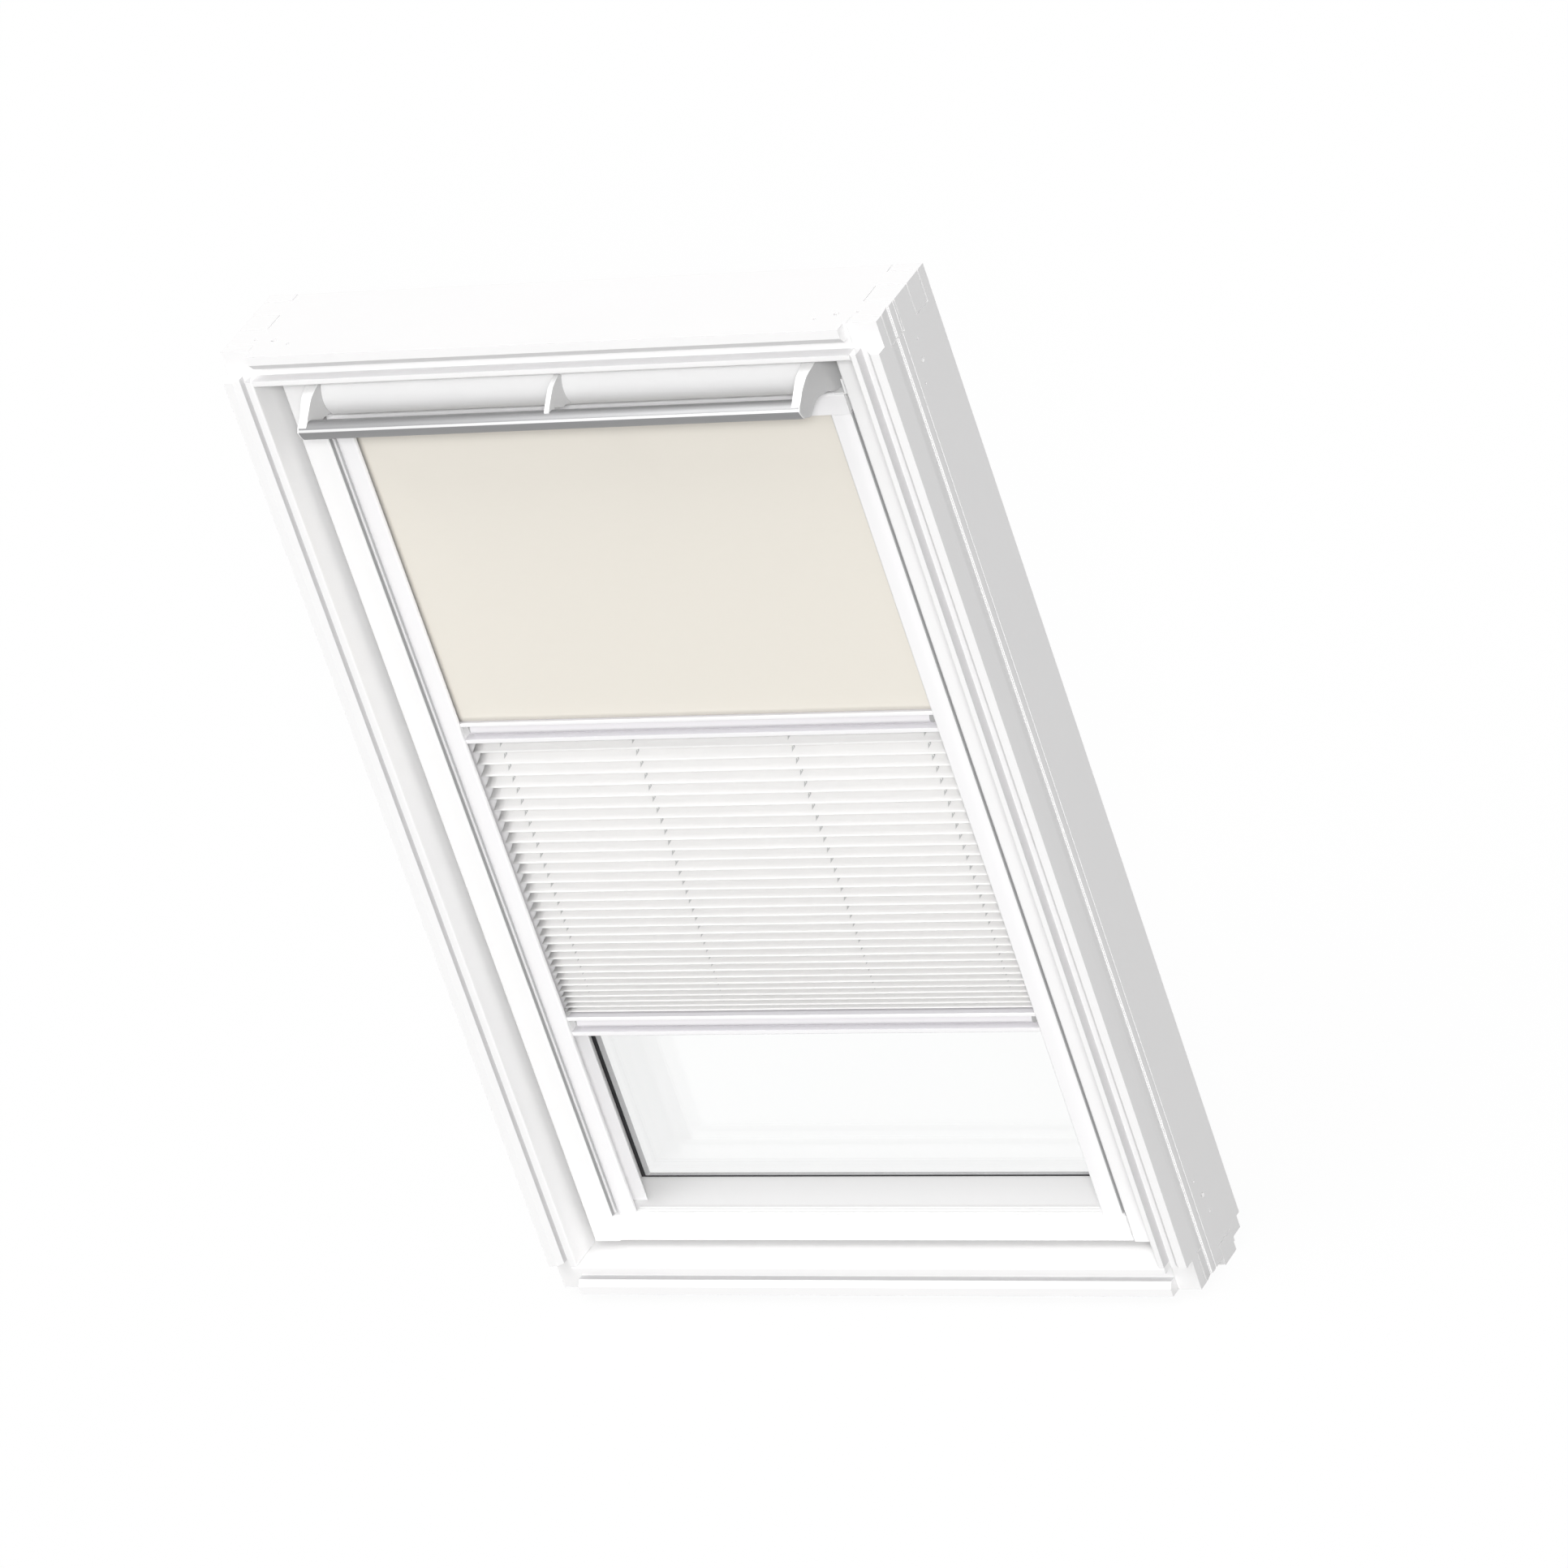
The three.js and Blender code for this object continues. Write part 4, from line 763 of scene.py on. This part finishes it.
def smooth_faces(piece, corners=None):
    """Shades all faces smooth, or only those with this many corners."""
    for face in piece.data.polygons:
        face.use_smooth = corners in (None, len(face.vertices))


# %% [markdown]
# ### The drum flap, its arms and the control bar
#
# A half drum closes the vent in the head rail. Two arms, one fin and a hollow aluminium bar turn
# with it about a steel rod. The outlines are written as shares of the arm's reach, measured from
# the drum's axis, so they keep their shape if the bar moves. Straight chords would show as facets
# on the arms' long curve, so the curve is refined before it is pushed to its width.

# %% Drum measures
DRUM = (42 * MM, 1114 * MM)  # its axis, as (y, z)
REACH = 74 * MM
FLAP_RADIUS = 28 * MM
FLAP_HALF = 288 * MM
FLAP_ARC = (math.radians(134), math.radians(232))
FLAP_SHEET = 2.5 * MM
FLAP_STEPS = 48
ARM_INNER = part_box("bar_arm_right")[0].x
ARM_CAP = 1.5 * MM
ARM_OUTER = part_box("bar_arm_right")[1].x - ARM_CAP
print(f"drum axis {DRUM}, arms from {ARM_INNER:.4f} to {ARM_OUTER + ARM_CAP:.4f} m")


def from_drum(shares):
    """Shares of the reach as (y, z) points."""
    return [(DRUM[0] + y * REACH, DRUM[1] + z * REACH) for y, z in shares]


# %% Drum flap
def make_flap():
    """A rolled sheet: two arcs round the drum's axis, pushed along X."""
    start, end = FLAP_ARC
    outline = (arc(DRUM, FLAP_RADIUS, start, end, FLAP_STEPS)
               + arc(DRUM, FLAP_RADIUS - FLAP_SHEET, end, start, FLAP_STEPS))
    flap = new_piece("drum_flap", *push_along_x(outline, -FLAP_HALF, FLAP_HALF), white_steel,
                     "control", ["vent_flap"])
    soften(flap, 0.6 * MM)


make_flap()

# %% Outlines of the arms and the fin
ARM_TOP = [(0.149, -0.041), (0.108, 0.135), (0, 0.236), (-0.162, 0.262), (-0.311, 0.266),
           (-0.392, 0.257), (-0.562, 0.209), (-0.642, 0.169), (-0.788, 0.058), (-0.895, -0.036),
           (-0.949, -0.073)]
ARM_NOSE = [(-0.987, -0.135), (-0.972, -0.189), (-0.938, -0.252), (-0.793, -0.340),
            (-0.749, -0.338)]
ARM_ARCH = [(-0.684, -0.286), (-0.618, -0.236), (-0.527, -0.203), (-0.412, -0.208),
            (-0.269, -0.250), (-0.154, -0.314), (-0.034, -0.365)]
ARM_FOOT = [(0.149, -0.365)]
CAP_NOSE = [(-0.730, 0.086), (-0.781, 0.057), (-0.895, -0.030), (-0.955, -0.071), (-1.0, -0.131),
            (-0.983, -0.185), (-0.948, -0.256), (-0.926, -0.279), (-0.757, -0.324),
            (-0.730, -0.322)]
FIN_TOP = [(-0.330, 0.240), (-0.392, 0.257), (-0.562, 0.209), (-0.642, 0.169), (-0.788, 0.058),
           (-0.890, -0.030)]
FIN_FOOT = [(-0.890, -0.100), (-0.740, -0.090), (-0.709, -0.062), (-0.610, -0.120),
            (-0.530, -0.172), (-0.455, -0.178)]

# %% Arms and fin
FLARE = 6.3 * MM
FLARE_START = -30 * MM
FLARE_END = 13 * MM
FLARE_CURVE = 1.3
FIN_HALF = 3 * MM
FIN_ARC = (math.radians(218), math.radians(146))
FIN_GAP = 0.3 * MM  # between the fin and the flap


def paint_side_shade(piece):
    """The flat sides of a moulding are painted darker than its front, as painted shade."""
    piece.data.materials.append(side_painted_shade)
    for face in piece.data.polygons:
        if abs(face.normal.x) > 0.7:
            face.material_index = 1


def flare(depth):
    """How much an arm widens outwards at this depth."""
    share = min(max((depth - FLARE_START) / (FLARE_END - FLARE_START), 0.0), 1.0)
    return FLARE * share ** FLARE_CURVE


def make_arm(side, word):
    outline = (smooth_line(from_drum(ARM_TOP)) + from_drum(ARM_NOSE)
               + smooth_line(from_drum(ARM_ARCH)) + from_drum(ARM_FOOT))
    plate, plate_faces = push_along_x(outline, side * ARM_INNER, side * ARM_OUTER)
    plate = [(x + side * flare(y) if abs(x) > ARM_INNER else x, y, z) for x, y, z in plate]
    cap, cap_faces = push_along_x(from_drum(CAP_NOSE), side * ARM_OUTER,
                                  side * (ARM_OUTER + ARM_CAP))
    faces = plate_faces + [tuple(i + len(plate) for i in face) for face in cap_faces]
    arm = new_piece(f"arm_{word}", plate + cap, faces, white_plastic, "control",
                    [f"bar_arm_{word}"])
    paint_side_shade(arm)
    soften(arm, 0.5 * MM, 3)


def make_fin():
    flap_side = arc(DRUM, FLAP_RADIUS + FIN_GAP, *FIN_ARC, 16)
    outline = smooth_line(from_drum(FIN_TOP)) + smooth_line(from_drum(FIN_FOOT)) + flap_side
    fin = new_piece("middle_fin", *push_along_x(outline, -FIN_HALF, FIN_HALF), white_plastic,
                    "control", ["bar_fin"])
    paint_side_shade(fin)
    soften(fin, 0.4 * MM)


make_arm(-1, "left")
make_arm(1, "right")
make_fin()

# %% Control bar
BAR_TOP = [(-0.785, -0.050), (-0.820, -0.042), (-0.865, -0.043), (-0.910, -0.056),
           (-0.945, -0.075), (-0.973, -0.102), (-0.989, -0.135)]
BAR_LIP = [(-0.989, -0.135), (-0.981, -0.177), (-0.964, -0.215), (-0.945, -0.251),
           (-0.926, -0.277), (-0.900, -0.295), (-0.757, -0.324)]
BAR_HOLLOW = [(-0.800, -0.085), (-0.860, -0.075), (-0.926, -0.088), (-0.966, -0.134),
              (-0.918, -0.240), (-0.790, -0.278)]
BAR_STEPS = 6  # pieces of curve between two points of its top


def next_to(line):
    """Each point of a closed line with the one after it."""
    return zip(line, line[1:] + line[:1])


def make_bar():
    """A hollow drawn profile. Each end is a ring of faces between the outline and the hollow."""
    outer = smooth_line(from_drum(BAR_TOP), BAR_STEPS) + smooth_line(from_drum(BAR_LIP), 4)[1:]
    hollow = from_drum(BAR_HOLLOW)
    shape = bmesh.new()
    left, right = [[[shape.verts.new((x, y, z)) for y, z in line] for line in (outer, hollow)]
                   for x in (-ARM_OUTER, ARM_OUTER)]
    for first, second in zip(left, right):
        for (a, b), (c, d) in zip(next_to(first), next_to(second)):
            shape.faces.new((a, b, d, c))
    for end in (left, right):
        edges = [shape.edges.get(pair) for line in end for pair in next_to(line)]
        bmesh.ops.triangle_fill(shape, edges=edges, use_beauty=True)
    mesh = bpy.data.meshes.new("grip_bar")
    bmesh.ops.recalc_face_normals(shape, faces=shape.faces)
    shape.to_mesh(mesh)
    shape.free()
    bar = place_piece("grip_bar", mesh, bar_aluminium, "control", ["control_bar"])
    # the last bend at the top gets the painted highlight
    mesh.materials.append(painted_highlight_edge)
    edge = (len(BAR_TOP) - 2) * BAR_STEPS  # the first face of the last bend at the top
    for face in mesh.polygons[edge:edge + BAR_STEPS]:
        face.material_index = 1
    soften(bar, 0.3 * MM, angle=30, flat_faces=False)


make_bar()

# %% [markdown]
# ### Side rails
#
# A side rail is a channel for the edges of both cloths. Its front is crowned on the side of the
# sash and turns in at the slot. A thin flange with an upturned edge lies in the gap between the
# rail and the sash. The gap reads as a fine double line because of painted shade: the rail's
# outer edge is painted dark grey, and a thin dark grey strip stands in the gap by the sash's wall.

# %% Outlines of the side rails
# The points are (x, y) in millimetres. The flange and the dark strip of painted shade start from
# the front of the rail's wall, and the turn starts from the front of the slot.
RAIL_FLANGE = [(0.0, 13.5), (5.0, 13.5), (5.0, 4.8), (3.6, 4.8), (3.6, 12.0), (0.0, 12.0)]
# a dark strip of painted shade in the gap, by the sash's wall
GAP_SHADE_STRIP = [(5.05, -1.8), (5.25, -1.8), (5.25, 3.2), (5.05, 3.2)]  # stuck to the sash
RAIL_TURN = [(2.2, 0.0), (1.2, 0.3), (0.4, 0.9), (0.0, 2.0), (0.0, 4.6), (1.8, 4.6), (1.8, 2.6)]
RAIL_CROWN = (12 * MM, 4.5 * MM)  # how wide and how deep the crown falls off
CROWN_STEPS = 8
FLANGE_WIDTH = 5.0 * MM
RAIL_WALL = 6 * MM
RAIL_BACK = 2 * MM


def wall_place(low, high):
    """How far the outer wall of a rail is from the middle of the window."""
    return max(abs(low.x), abs(high.x)) - FLANGE_WIDTH


def side_rail_outline(low, high, side):
    """(x, y) points of one rail, mirrored for the other side."""
    inner, wall = min(abs(low.x), abs(high.x)), wall_place(low, high)
    front, back = low.y, high.y
    wide, deep = RAIL_CROWN
    slot_back = back - RAIL_BACK
    angles = [math.pi / 2 * i / CROWN_STEPS for i in range(CROWN_STEPS + 1)]
    points = [(wall, back)]
    points += [(wall + x * MM, front + y * MM) for x, y in RAIL_FLANGE]
    points += [(wall - wide * (1 - math.cos(a)), front + deep * (1 - math.sin(a))) for a in angles]
    points += [(inner + x * MM, front + y * MM) for x, y in RAIL_TURN]
    points += [(wall - RAIL_WALL, front + RAIL_TURN[-1][1] * MM), (wall - RAIL_WALL, slot_back)]
    points += [(inner, slot_back), (inner, back)]
    return [(side * x, y) for x, y in points]


# %% Side rails
# painted shade of the gap: the seal named below is dark grey painted on these faces of the rail
SHADE_FACE = 0.7  # the seal covers what faces the sash by more than this
SHADE_REACH = 3 * MM  # and what is no further than this from the wall


def push_along_z(outline, low, high):
    pushed, faces = push_along_x(outline, low, high)
    return [(x, y, z) for z, x, y in pushed], faces


def make_side_rail(side, word):
    low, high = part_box(f"side_rail_{word}")
    wall = wall_place(low, high)
    rail = new_piece(f"side_channel_{word}",
                     *push_along_z(side_rail_outline(low, high, side), low.z, high.z),
                     white_aluminium, "sash", [f"side_rail_{word}"])
    rail.data.materials.append(gap_painted_shade)
    for face in rail.data.polygons:
        near_wall = wall - SHADE_REACH < abs(face.center.x) <= wall + 0.01 * MM
        if near_wall and face.normal.x * side > SHADE_FACE:
            face.material_index = 1
    soften(rail, 0.3 * MM, 2, 50)
    strip = [(side * (wall + x * MM), low.y + y * MM) for x, y in GAP_SHADE_STRIP]
    new_piece(f"gap_painted_shade_{word}", *push_along_z(strip, low.z, high.z), gap_painted_shade, "sash")


make_side_rail(-1, "left")
make_side_rail(1, "right")

# %% [markdown]
# ### Sliding rails
#
# A slim aluminium rail hangs below each cloth. Its front is a finger channel between two lips, and
# a plastic plug closes each end of the channel in a round. The rail is one profile pushed along X.
# At each end, the channel's profile is drawn back in steps that follow a quarter circle, which
# makes the round. The rail's top and the ledge below the channel are painted grey as painted
# shade, since a plain white coat would catch too much light there. The channel is painted a
# lavender grey that is partly its tint and partly painted shade, and the plugs' faces a mid grey
# that is painted shade in their pockets.

# %% Profile of the sliding rails
LIP_TOP = 3.8 * MM
LIP_BOTTOM = 5.4 * MM
LIP_ROUND = 1.2 * MM
# Depths of the channel in millimetres, each with its share of the way from lip to lip.
CHANNEL_BACK = [(0.6, 0.0), (4.6, 0.03), (4.0, 0.12), (3.0, 0.25), (2.3, 0.38), (2.0, 0.48),
                (2.2, 0.56), (3.2, 0.66), (5.2, 0.76), (7.0, 0.86), (7.4, 0.92), (1.0, 0.97),
                (0.2, 1.0)]
LEDGE_FACES = 4  # the last faces of the channel, that lead up to the lower lip


def channel_profile(front, top, bottom, deepen):
    """(y, z) points down the channel from lip to lip. deepen sinks it in the plugs."""
    high, low = top - LIP_TOP, bottom + LIP_BOTTOM
    points = [(front, high)]
    for depth, share in CHANNEL_BACK:
        sunk = depth + deepen * math.sin(math.pi * share)
        points.append((front + sunk * MM, high + (low - high) * share))
    return points + [(front, low)]


def rail_profile(low, high, deepen):
    """(y, z) points round the rail, and where the channel's faces start and end among them."""
    front, back = low.y, high.y
    line = [(back, high.z), (front + LIP_ROUND, high.z)]
    line += arc((front + LIP_ROUND, high.z - LIP_ROUND), LIP_ROUND, math.pi / 2, math.pi, 4)[1:]
    start = len(line)
    line += channel_profile(front, high.z, low.z, deepen)
    end = len(line) - 1
    line += arc((front + LIP_ROUND, low.z + LIP_ROUND), LIP_ROUND, math.pi, 1.5 * math.pi, 4)
    return line + [(back, low.z)], start, end


# %% Sliding rails
# Steps of a plug: millimetres from the rail's end, and millimetres that the channel sinks there.
PLUG = [(0, 9), (0.3, 9), (1.6, 8.7), (3.6, 7.6), (5.6, 5.8), (7.3, 3.3), (8.1, 0.9), (8.2, 0.0)]


def make_rail(name, body):
    low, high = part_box(name)
    stations = [(low.x + end * MM, sink) for end, sink in PLUG]
    stations += [(high.x - end * MM, sink) for end, sink in reversed(PLUG)]
    vertices = []
    for x, sink in stations:
        line, start, end = rail_profile(low, high, sink)
        vertices += [(x, y, z) for y, z in line]
    count = len(line)
    rail = new_piece(f"{name}_profile", vertices, join_rings(len(stations), count),
                     white_aluminium, body, [name])
    # the channel gets its tint with painted shade, and the plugs, the top and the ledge get painted
    # shade
    for coat in (channel_tint_and_shade, plug_painted_shade, ledge_painted_shade):
        rail.data.materials.append(coat)
    for row in range(len(stations) - 1):
        strip = rail.data.polygons[row * count:(row + 1) * count]
        in_plug = min(row, len(stations) - 2 - row) < len(PLUG) - 1
        for face in strip[start:end]:
            face.material_index = 2 if in_plug else 1
        for face in strip[:1] + strip[end - LEDGE_FACES:end - 1]:  # the top, then the ledge
            face.material_index = 3
    soften(rail, 0.25 * MM, 2, 50)


make_rail("middle_rail", "upper_slide")
make_rail("bottom_rail", "lower_slide")

# %% [markdown]
# ## The blackout cloth
#
# The upper cloth hangs from a roller in the casing and is pulled tight by the middle rail. A tight
# cloth is still not a plane: it bows a little between its side channels and has slow waves near its
# edges. The sheet is a grid of points, moved by a few long sine waves, with a thickness added by a
# Solidify modifier. It winds up on the roller when the rail rises.

# %% Sheet helpers
def make_grid(columns, rows):
    return [(r * columns + c, r * columns + c + 1, (r + 1) * columns + c + 1, (r + 1) * columns + c)
            for r in range(rows - 1) for c in range(columns - 1)]


def apply_modifiers(piece):
    """Fixes the modifiers into the mesh. A piece that bends or flattens needs its final mesh."""
    graph = bpy.context.evaluated_depsgraph_get()
    final = bpy.data.meshes.new_from_object(piece.evaluated_get(graph))
    piece.modifiers.clear()
    piece.data = final


def thicken(piece, thickness):
    solid = piece.modifiers.new("thickness", "SOLIDIFY")
    solid.thickness = thickness
    solid.offset = 0
    apply_modifiers(piece)
    smooth_faces(piece)


# %% Blackout cloth
CLOTH_BOW = 0.35 * MM
CLOTH_WAVE = 0.12 * MM
CLOTH_GRID = (97, 65)  # points across and up
CLOTH_THICKNESS = 0.45 * MM


def make_blackout():
    low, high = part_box("blackout_fabric")
    columns, rows = CLOTH_GRID
    middle = (low.y + high.y) / 2
    half = (high.x - low.x) / 2
    vertices = []
    for r in range(rows):
        for c in range(columns):
            across, down = c / (columns - 1), r / (rows - 1)
            edge = math.sin(math.pi * across) * math.sin(math.pi * down)
            wave = math.sin(5 * across + 2 * down) * math.sin(3 * down + 1)
            depth = middle + edge * (CLOTH_BOW + CLOTH_WAVE * wave)
            vertices.append((-half + 2 * half * across, depth, low.z + (high.z - low.z) * down))
    sheet = new_piece("blackout_cloth", vertices, make_grid(columns, rows), blackout_cloth, None,
                      ["blackout_fabric"])
    thicken(sheet, CLOTH_THICKNESS)
    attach(sheet, "sash")
    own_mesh(sheet)


make_blackout()

# %% [markdown]
# ## The pleated cloth
#
# The lower cloth is crimped into pleats that hang between the two sliding rails. They are open at
# the top and lie closer together lower down, because the lower pleats carry less cloth below them.
# Each panel between two folds bows a little, and the folds themselves are soft. The zigzag is
# computed in closed form: a cloth simulation would lose the sharp, even folds that a crimping press
# sets.

# %% Fold line
PLEATS = 31
PLEAT_FRONT = 48 * MM
PLEAT_DEPTH = 16 * MM
PITCH_FALL = 0.6  # the last pitch is this share smaller than the first
PITCH_CURVE = 1.35
LAST_FOLD = 2.9 * MM  # above the cloth's lower end
PANEL_STEPS = 6
PANEL_BOW = 0.14  # share of a panel's height
BACK_BOW = 0.6  # a panel that leads to the back bows this much of it


def fold_heights(top, bottom):
    """Heights of the front folds."""
    weights = [1 - PITCH_FALL * (i / (PLEATS - 1)) ** PITCH_CURVE for i in range(PLEATS)]
    total = sum(weights)
    heights = [top]
    for weight in weights:
        heights.append(heights[-1] - (top - bottom) * weight / total)
    return heights


def pleat_line(low, high):
    """(y, z) points down the zigzag, with a bow in each panel."""
    back = PLEAT_FRONT + PLEAT_DEPTH
    heights = fold_heights(high.z, low.z + LAST_FOLD)
    corners = []
    for height, following in zip(heights, heights[1:]):
        corners += [(PLEAT_FRONT, height), (back, (height + following) / 2)]
    corners += [(PLEAT_FRONT, heights[-1]), (PLEAT_FRONT + PLEAT_DEPTH / 2, low.z)]
    line = []
    for i, ((y0, z0), (y1, z1)) in enumerate(zip(corners, corners[1:])):
        bow = PANEL_BOW * (z0 - z1) * (1 if i % 2 else BACK_BOW)
        for k in range(PANEL_STEPS):
            t = k / PANEL_STEPS
            line.append((y0 + (y1 - y0) * t, z0 + (z1 - z0) * t - bow * math.sin(math.pi * t)))
    line.append(corners[-1])
    return line


# %% Pleated cloth
PLEAT_COLUMNS = 49
PLEAT_WAVE = 0.25 * MM
PLEAT_THICKNESS = 0.3 * MM


def make_pleats():
    low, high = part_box("pleated_fabric")
    line = pleat_line(low, high)
    half = high.x
    vertices = []
    for y, z in line:
        for c in range(PLEAT_COLUMNS):
            across = c / (PLEAT_COLUMNS - 1)
            wave = PLEAT_WAVE * math.sin(9 * across + 140 * z) * math.sin(math.pi * across)
            vertices.append((-half + 2 * half * across, y + wave, z))
    sheet = new_piece("pleated_cloth", vertices, make_grid(PLEAT_COLUMNS, len(line)),
                      pleated_cloth, None, ["pleated_fabric"])
    thicken(sheet, PLEAT_THICKNESS)
    length = sum(math.dist(a, b) for a, b in zip(line, line[1:]))
    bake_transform(sheet)
    print(f"pleated cloth {2 * half:.3f} x {length:.3f} m")
    return sheet, 2 * half, length


pleats, pleat_width, pleat_length = make_pleats()

# %% [markdown]
# ### Pull cords
#
# Four thin cords run down through holes punched in the pleats and keep them in line. Between two
# folds only a few millimetres of each can be seen, where it enters the cloth. They are tubes of
# eight sides.

# %% Pull cords
CORD_PLACES = [side * (CORD_MIDDLE + way * CORD_APART) for side in (-1, 1) for way in (-1, 1)]
CORD_RADIUS = 0.55 * MM
CORD_SIDES = 8
CORD_LENGTHS = 60


def make_cords():
    low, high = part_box("pleated_fabric")
    section = [(CORD_RADIUS * math.cos(angle), CORD_DEPTH + CORD_RADIUS * math.sin(angle))
               for angle in (2 * math.pi * s / CORD_SIDES for s in range(CORD_SIDES))]
    vertices, faces = [], []
    for place in CORD_PLACES:
        faces += join_rings(CORD_LENGTHS + 1, CORD_SIDES, len(vertices))
        for r in range(CORD_LENGTHS + 1):
            z = high.z + (low.z - high.z) * r / CORD_LENGTHS
            vertices += [(place + x, y, z) for x, y in section]
    cords = new_piece("pull_cords", vertices, faces, cord_white, None)
    smooth_faces(cords, corners=4)
    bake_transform(cords)
    return cords


cords = make_cords()

# %% [markdown]
# ## The foam filter
#
# An open foam strip behind the drum flap lets air through and keeps insects out. It is a soft
# solid, so a finer piece stands for the CAD block: a rounded bar of foam whose faces are a little
# uneven.

# %% Foam filter
FOAM_COLUMNS = 120
FOAM_RING = 24
FOAM_ROUND = 0.3  # 1 would make the section an ellipse, and 0 a box
FOAM_FULL = 0.965  # share of its space that the foam fills on average
FOAM_SWELL = 0.03


def make_filter():
    low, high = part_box("air_filter")
    center = (low + high) / 2
    size = (high - low) / 2
    vertices = []
    for c in range(FOAM_COLUMNS):
        x = low.x + (high.x - low.x) * c / (FOAM_COLUMNS - 1)
        for s in range(FOAM_RING):
            angle = 2 * math.pi * s / FOAM_RING
            y = math.copysign(abs(math.cos(angle)) ** FOAM_ROUND, math.cos(angle))
            z = math.copysign(abs(math.sin(angle)) ** FOAM_ROUND, math.sin(angle))
            swell = FOAM_FULL + FOAM_SWELL * math.sin(410 * x + 3 * angle)
            vertices.append((x, center.y + size.y * y * swell, center.z + size.z * z * swell))
    foam = new_piece("foam_filter", vertices, join_rings(FOAM_COLUMNS, FOAM_RING), filter_foam,
                     "sash", ["air_filter"])
    smooth(foam)


make_filter()

# %% [markdown]
# ## Floor, light and backdrop
#
# The picture is high key: a white window on white, told apart only by soft greys. The world gives
# an even light from all sides, a little stronger from the room side. A broad high lamp whitens what
# faces up, and a front lamp from the right lights the front and the left reveal. Seen straight or
# mirrored, the world is plain white. The floor is white for the camera too, and only part of its
# look comes from light that falls on it, so the window's shadow stays faint. Shiny surfaces see the
# floor at about half its brightness, which gives the bar its dark lower edge.

# %% World and lamps
AMBIENT = 0.44
AMBIENT_TINT = (0.99, 0.985, 0.99, 1.0)
FRONT_MORE = 0.45  # how much brighter the world is straight in front
# Name, strength, where the light comes from, and how wide it is in degrees.
LAMPS = [("high lamp", 0.96, Vector((-0.2, -0.3, 0.93)), 40),
         ("front lamp", 2.05, Vector((0.50, -0.745, 0.44)), 12)]


def seen_white(tree, mirrored=1.0):
    """1 where a ray comes from the camera or a pane, and mirrored where from a shiny surface."""
    rays = add_node(tree, "ShaderNodeLightPath").outputs
    direct = add_math(tree, "MAXIMUM", rays["Is Camera Ray"], rays["Is Transmission Ray"])
    shiny = add_math(tree, "MULTIPLY", rays["Is Glossy Ray"], mirrored)
    return add_math(tree, "MAXIMUM", direct, shiny)


def light_world():
    world = bpy.data.worlds.new("soft studio")
    scene.world = world
    tree = empty_tree(world)
    place = add_node(tree, "ShaderNodeTexCoord").outputs["Generated"]
    toward = add_node(tree, "ShaderNodeSeparateXYZ", {"Vector": place})
    ahead = add_math(tree, "MAXIMUM", add_math(tree, "MULTIPLY", toward.outputs["Y"], -1.0), 0.0)
    level = add_math(tree, "ADD", AMBIENT, add_math(tree, "MULTIPLY", ahead, FRONT_MORE))
    soft = add_node(tree, "ShaderNodeBackground", {"Color": AMBIENT_TINT, "Strength": level})
    white = add_node(tree, "ShaderNodeBackground", {"Color": grey(1.0), "Strength": 1.0})
    light = mix_shaders(tree, seen_white(tree), soft, white)
    add_node(tree, "ShaderNodeOutputWorld", {"Surface": light})


def place_lamps():
    for name, strength, source, angle in LAMPS:
        lamp = bpy.data.objects.new(name, bpy.data.lights.new(name, "SUN"))
        lamp.data.energy = strength
        lamp.data.angle = math.radians(angle)
        lamp.rotation_euler = source.to_track_quat("Z", "Y").to_euler()
        scene.collection.objects.link(lamp)
        print(f"{name}: strength {strength}, {angle} degrees wide")


light_world()
place_lamps()

# %% Floor
FLOOR_HALF = 30.0
FLOOR_DROP = 0.5 * MM  # below the window
FLOOR_SEEN = 0.9
FLOOR_BOUNCE = 0.22  # as light falls back from it on the window
FLOOR_MIRRORED = 0.45
FLOOR_GLOW = 0.95  # share of what is seen that doesn't depend on the light


def floor_finish():
    material = bpy.data.materials.new("pale floor")
    tree = empty_tree(material)
    seen = seen_white(tree, mirrored=FLOOR_MIRRORED)
    tone = mix_color(tree, seen, grey(FLOOR_BOUNCE), grey(FLOOR_SEEN))
    matt = add_node(tree, "ShaderNodeBsdfDiffuse", {"Color": tone})
    white = add_node(tree, "ShaderNodeEmission", {"Color": grey(1.0), "Strength": 1.0})
    share = add_math(tree, "MULTIPLY", seen, FLOOR_GLOW)
    add_node(tree, "ShaderNodeOutputMaterial", {"Surface": mix_shaders(tree, share, matt, white)})
    return material


def make_floor():
    level = cad_box[0][2] - FLOOR_DROP
    corners = [(x * FLOOR_HALF, y * FLOOR_HALF, level)
               for x, y in ((-1, -1), (1, -1), (1, 1), (-1, 1))]
    mesh = bpy.data.meshes.new("floor")
    mesh.from_pydata(corners, [], [(0, 1, 2, 3)])
    mesh.materials.append(floor_finish())
    floor = bpy.data.objects.new("floor", mesh)
    scene.collection.objects.link(floor)
    print(f"floor at {level:.4f} m")


make_floor()

# %% [markdown]
# ## Size
#
# The size of the CAD model is printed.

# %% Size of the CAD model
print("cad box", cad_box)
